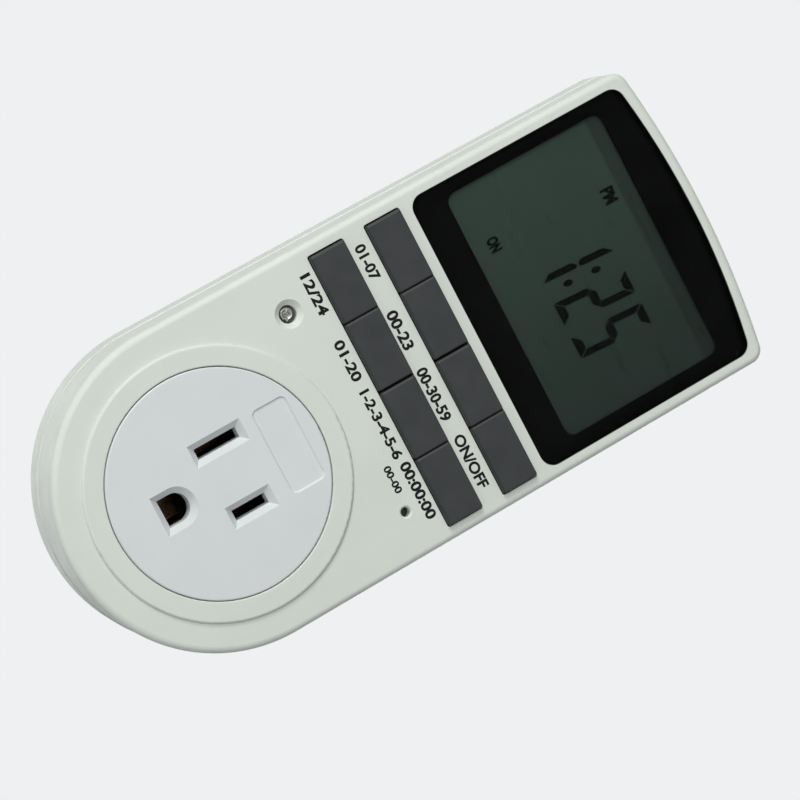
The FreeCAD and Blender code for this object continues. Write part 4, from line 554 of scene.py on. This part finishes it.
# name, words, middle across and up the face, height and width
MARKS = [
    ("mark_day", "01-07", -21.35, 42.6, 2.15, 6.9),
    ("mark_hour", "00-23", -7.9, 42.15, 2.25, 7.6),
    ("mark_minute", "00-30-59", 5.15, 42.15, 2.25, 10.5),
    ("mark_recall", "ON/OFF", 19.0, 42.55, 2.2, 10.6),
    ("mark_clock", "12/24", -20.9, 31.25, 2.05, 8.0),
    ("mark_program", "01-20", -7.7, 31.0, 2.05, 8.0),
    ("mark_mode", "1-2-3-4-5-6", 5.15, 31.0, 2.05, 13.7),
    ("mark_random", "00:00:00", 18.75, 31.35, 2.1, 11.3),
    ("mark_reset", "00-00", 14.8, 28.15, 1.45, 5.3),
]
for mark in MARKS:
    set_type(*mark, out=0.0, finish=ink)
set_type("day_shown", "PM", x=-10.35, y=89.7, height=2.75, width=3.0,
         out=panel_top, finish=liquid_crystal, weight=0.05)
set_type("state_shown", "ON", x=-12.8, y=65.8, height=2.4, width=2.8,
         out=panel_top, finish=liquid_crystal, weight=0.055)
print("marks:", ", ".join(mark[1] for mark in MARKS), "and PM, ON")

# %% [markdown]
# ## Lamp
# The lamp is clear resin with a metal cup inside. From above one sees the cup as a bright ring with a
# dark chip in it. The resin is kept mostly see-through for the same reason as the window, and the cup,
# the chip and the second leg are small pieces of their own inside it.

# %% Lamp resin and its cup
lamp_resin = new_finish("lamp_resin", (0.46, 0.47, 0.46), roughness=0.05, Alpha=0.15, Specular_IOR_Level=0.9)
drift_roughness(lamp_resin, low=0.03, high=0.08, size_mm=1.0)
relief(lamp_resin, size_mm=1.2, depth_mm=0.01, strength=0.15)
dress(lamp_resin, "indicator_lamp")

cup_metal = new_finish("cup_metal", (0.52, 0.51, 0.47), roughness=0.22, Metallic=1.0)
drift_colour(cup_metal, (0.40, 0.39, 0.36), (0.64, 0.63, 0.59), size_mm=0.3)
drift_roughness(cup_metal, low=0.18, high=0.35, size_mm=0.3)
relief(cup_metal, size_mm=0.2, depth_mm=0.01, strength=0.3)


def turned(name, profile, x, y, finish, points):
    """A turned piece whose axis stands out of the face: its profile is pairs of radius and height."""
    shape = bmesh.new()
    rings = []
    for radius, height in profile:
        ring = []
        for step in range(points):
            angle = 2 * math.pi * step / points
            place = on_front(x + radius * math.cos(angle), y + radius * math.sin(angle), height)
            ring.append(shape.verts.new(place))
        rings.append(ring)
    for lower, upper in zip(rings, rings[1:]):
        for step in range(points):
            after = (step + 1) % points
            shape.faces.new((lower[step], lower[after], upper[after], upper[step]))
    shape.faces.new(list(reversed(rings[0])))
    shape.faces.new(rings[-1])
    bmesh.ops.recalc_face_normals(shape, faces=shape.faces)
    mesh = bpy.data.meshes.new(name)
    shape.to_mesh(mesh)
    shape.free()
    for face in mesh.polygons:
        face.use_smooth = len(face.vertices) == 4
    piece = on_casing(name, mesh, finish)


lamp_x = -20.05
lamp_up = 25.5
cup_x = lamp_x - 0.15
post_x = lamp_x + 0.95
post_up = lamp_up - 0.35
CUP = [(0.30, -4.0), (0.55, -3.2), (1.05, -1.9), (1.12, -1.75), (0.95, -1.75), (0.45, -2.5), (0.40, -2.55)]
POST = [(0.28, -4.2), (0.28, -2.2), (0.20, -2.0)]
CHIP = [(0.26, -2.52), (0.26, -2.3), (0.16, -2.22)]

turned("lamp_cup", CUP, cup_x, lamp_up, cup_metal, points=40)
turned("lamp_post", POST, post_x, post_up, cup_metal, points=16)
chip = new_finish("lamp_chip", (0.10, 0.07, 0.05), roughness=0.35)
drift_colour(chip, (0.07, 0.05, 0.04), (0.14, 0.10, 0.07), size_mm=0.15)
turned("lamp_chip", CHIP, cup_x, lamp_up, chip, points=20)
print("the lamp's cup stands at", round(cup_x, 2), lamp_up)

# %% [markdown]
# ## Metals of the plug and of the contacts
# The blades and the ground pin are bright rolled brass, with fine lines along their length. The
# contacts inside are brass too, but painted far darker than brass, as painted shade for the dark inside
# the outlet. That dark, warm brown is what shows through the holes of the outlet. A stretched noise
# gives rolled metal its lines.

# %% Brass and steel
# Painted shade: the contact brass is a near-black brown, standing in for the shade inside the outlet.
shade_darkened_brass = new_finish("contact_brass", (0.11, 0.068, 0.032), roughness=0.34, Metallic=1.0)
drift_colour(shade_darkened_brass, (0.08, 0.05, 0.022), (0.14, 0.085, 0.042), size_mm=1.5, detail=3.0)
drift_roughness(shade_darkened_brass, low=0.24, high=0.42, size_mm=0.8, stretch=(1, 0.1, 1))
relief(shade_darkened_brass, size_mm=0.25, depth_mm=0.006, strength=0.3, stretch=(1, 0.08, 1))
dress(shade_darkened_brass, "line_contact", "neutral_contact", "ground_contact", "neutral_strap", "ground_strap",
      "relay_contact")

plug_brass = new_finish("plug_brass", (0.72, 0.57, 0.32), roughness=0.26, Metallic=1.0)
drift_colour(plug_brass, (0.68, 0.53, 0.29), (0.76, 0.61, 0.36), size_mm=2.5, detail=3.0)
drift_roughness(plug_brass, low=0.20, high=0.36, size_mm=1.2, stretch=(1, 0.08, 1))
relief(plug_brass, size_mm=0.20, depth_mm=0.005, strength=0.3, stretch=(1, 0.05, 1))
dress(plug_brass, "line_blade", "neutral_blade", "ground_pin")

plated_steel = new_finish("plated_steel", (0.60, 0.60, 0.61), roughness=0.32, Metallic=1.0)
drift_colour(plated_steel, (0.54, 0.54, 0.55), (0.66, 0.66, 0.67), size_mm=0.9, detail=3.0)
drift_roughness(plated_steel, low=0.24, high=0.42, size_mm=0.7)
relief(plated_steel, size_mm=0.3, depth_mm=0.006, strength=0.3)
dress(plated_steel, "casing_screws", "carrier_screws", "clamp_screws", "control_board_screws",
      "power_board_screws", "clock_crystal", "fuse_clips", "battery_tabs", "memory_battery", "relay_yoke",
      "relay_armature")

# %% [markdown]
# ## Plastics and rubbers inside
# The inner mouldings are plain engineering plastics. Each gets its own tint and a grain of its own
# scale, because they are seen side by side when the casing is opened.

# %% Inner mouldings
# name, colour, roughness, nodes
INNER = [
    # The carrier's near-black brown is partly its own colour and partly painted shade, so it reads dark
    # through the holes of the outlet.
    ("carrier_plastic", (0.060, 0.055, 0.042), 0.50, ["contact_carrier", "blade_clamp"]),
    ("holder_plastic", (0.68, 0.68, 0.65), 0.45, ["lcd_holder"]),
    ("key_silicone", (0.52, 0.53, 0.52), 0.60, ["key_mat"]),
    ("connector_rubber", (0.62, 0.36, 0.40), 0.65, ["lcd_connectors"]),
    ("switch_plastic", (0.020, 0.020, 0.022), 0.35, ["reset_switch", "reset_plunger"]),
    ("relay_plastic", (0.020, 0.050, 0.160), 0.30, ["relay_case", "relay_base", "relay_bobbin"]),
    ("lead_sheath", (0.030, 0.030, 0.033), 0.40, ["line_lead", "load_lead"]),
    ("neutral_sheath", (0.62, 0.62, 0.60), 0.40, ["neutral_lead"]),
    ("dropper_coat", (0.56, 0.42, 0.05), 0.32, ["dropper_capacitor"]),
    ("sleeve_black", (0.018, 0.018, 0.022), 0.30, ["smoothing_capacitor", "rectifier_diodes"]),
    ("blob_epoxy", (0.010, 0.010, 0.011), 0.38, ["processor_blob"]),
    ("chip_ceramic", (0.030, 0.030, 0.032), 0.50, ["chip_resistors"]),
    ("absorber_coat", (0.020, 0.110, 0.300), 0.42, ["surge_absorber"]),
    ("resistor_coat", (0.220, 0.420, 0.480), 0.48, ["power_resistors"]),
    ("ribbon_sheath", (0.330, 0.330, 0.350), 0.45, ["link_ribbon"]),
]
darker = 0.92
lighter = 1.08
rough_drift = 0.06
for name, colour, roughness, names in INNER:
    finish = new_finish(name, colour, roughness)
    drift_colour(finish, [darker * c for c in colour], [min(1.0, lighter * c) for c in colour], size_mm=3.0)
    drift_roughness(finish, roughness - rough_drift, roughness + rough_drift, size_mm=1.5)
    relief(finish, size_mm=0.25, depth_mm=0.01, strength=0.3)
    dress(finish, *names)

# %% Boards, winding and fuse
board_laminate = new_finish("board_laminate", (0.020, 0.120, 0.045), roughness=0.35)
drift_colour(board_laminate, (0.016, 0.100, 0.038), (0.026, 0.150, 0.058), size_mm=1.8, detail=1.0)
drift_roughness(board_laminate, low=0.28, high=0.42, size_mm=2.0)
relief(board_laminate, size_mm=0.5, depth_mm=0.02, strength=0.3)
dress(board_laminate, "control_board", "power_board")

coil_copper = new_finish("coil_copper", (0.60, 0.25, 0.12), roughness=0.28, Metallic=1.0)
drift_colour(coil_copper, (0.48, 0.18, 0.08), (0.66, 0.30, 0.15), size_mm=0.12, detail=1.0,
             stretch=(1, 0.05, 0.05))
relief(coil_copper, size_mm=0.12, depth_mm=0.05, strength=0.8, stretch=(1, 0.05, 0.05))
dress(coil_copper, "relay_winding")

fuse_glass = new_finish("fuse_glass", (0.80, 0.83, 0.82), roughness=0.06, Alpha=0.35, Specular_IOR_Level=0.8)
drift_roughness(fuse_glass, low=0.03, high=0.10, size_mm=1.5)
relief(fuse_glass, size_mm=3.0, depth_mm=0.01, strength=0.1)
dress(fuse_glass, "fuse")

# %% [markdown]
# ## Floor finish
# The floor is a pale sheet with the slightest cloudiness, so that it reads as paper.

# %% Floor finish
paper = new_finish("paper", (0.80, 0.81, 0.82), roughness=0.75)
drift_colour(paper, (0.79, 0.80, 0.81), (0.82, 0.83, 0.84), size_mm=300.0)
floor.data.materials.append(paper)
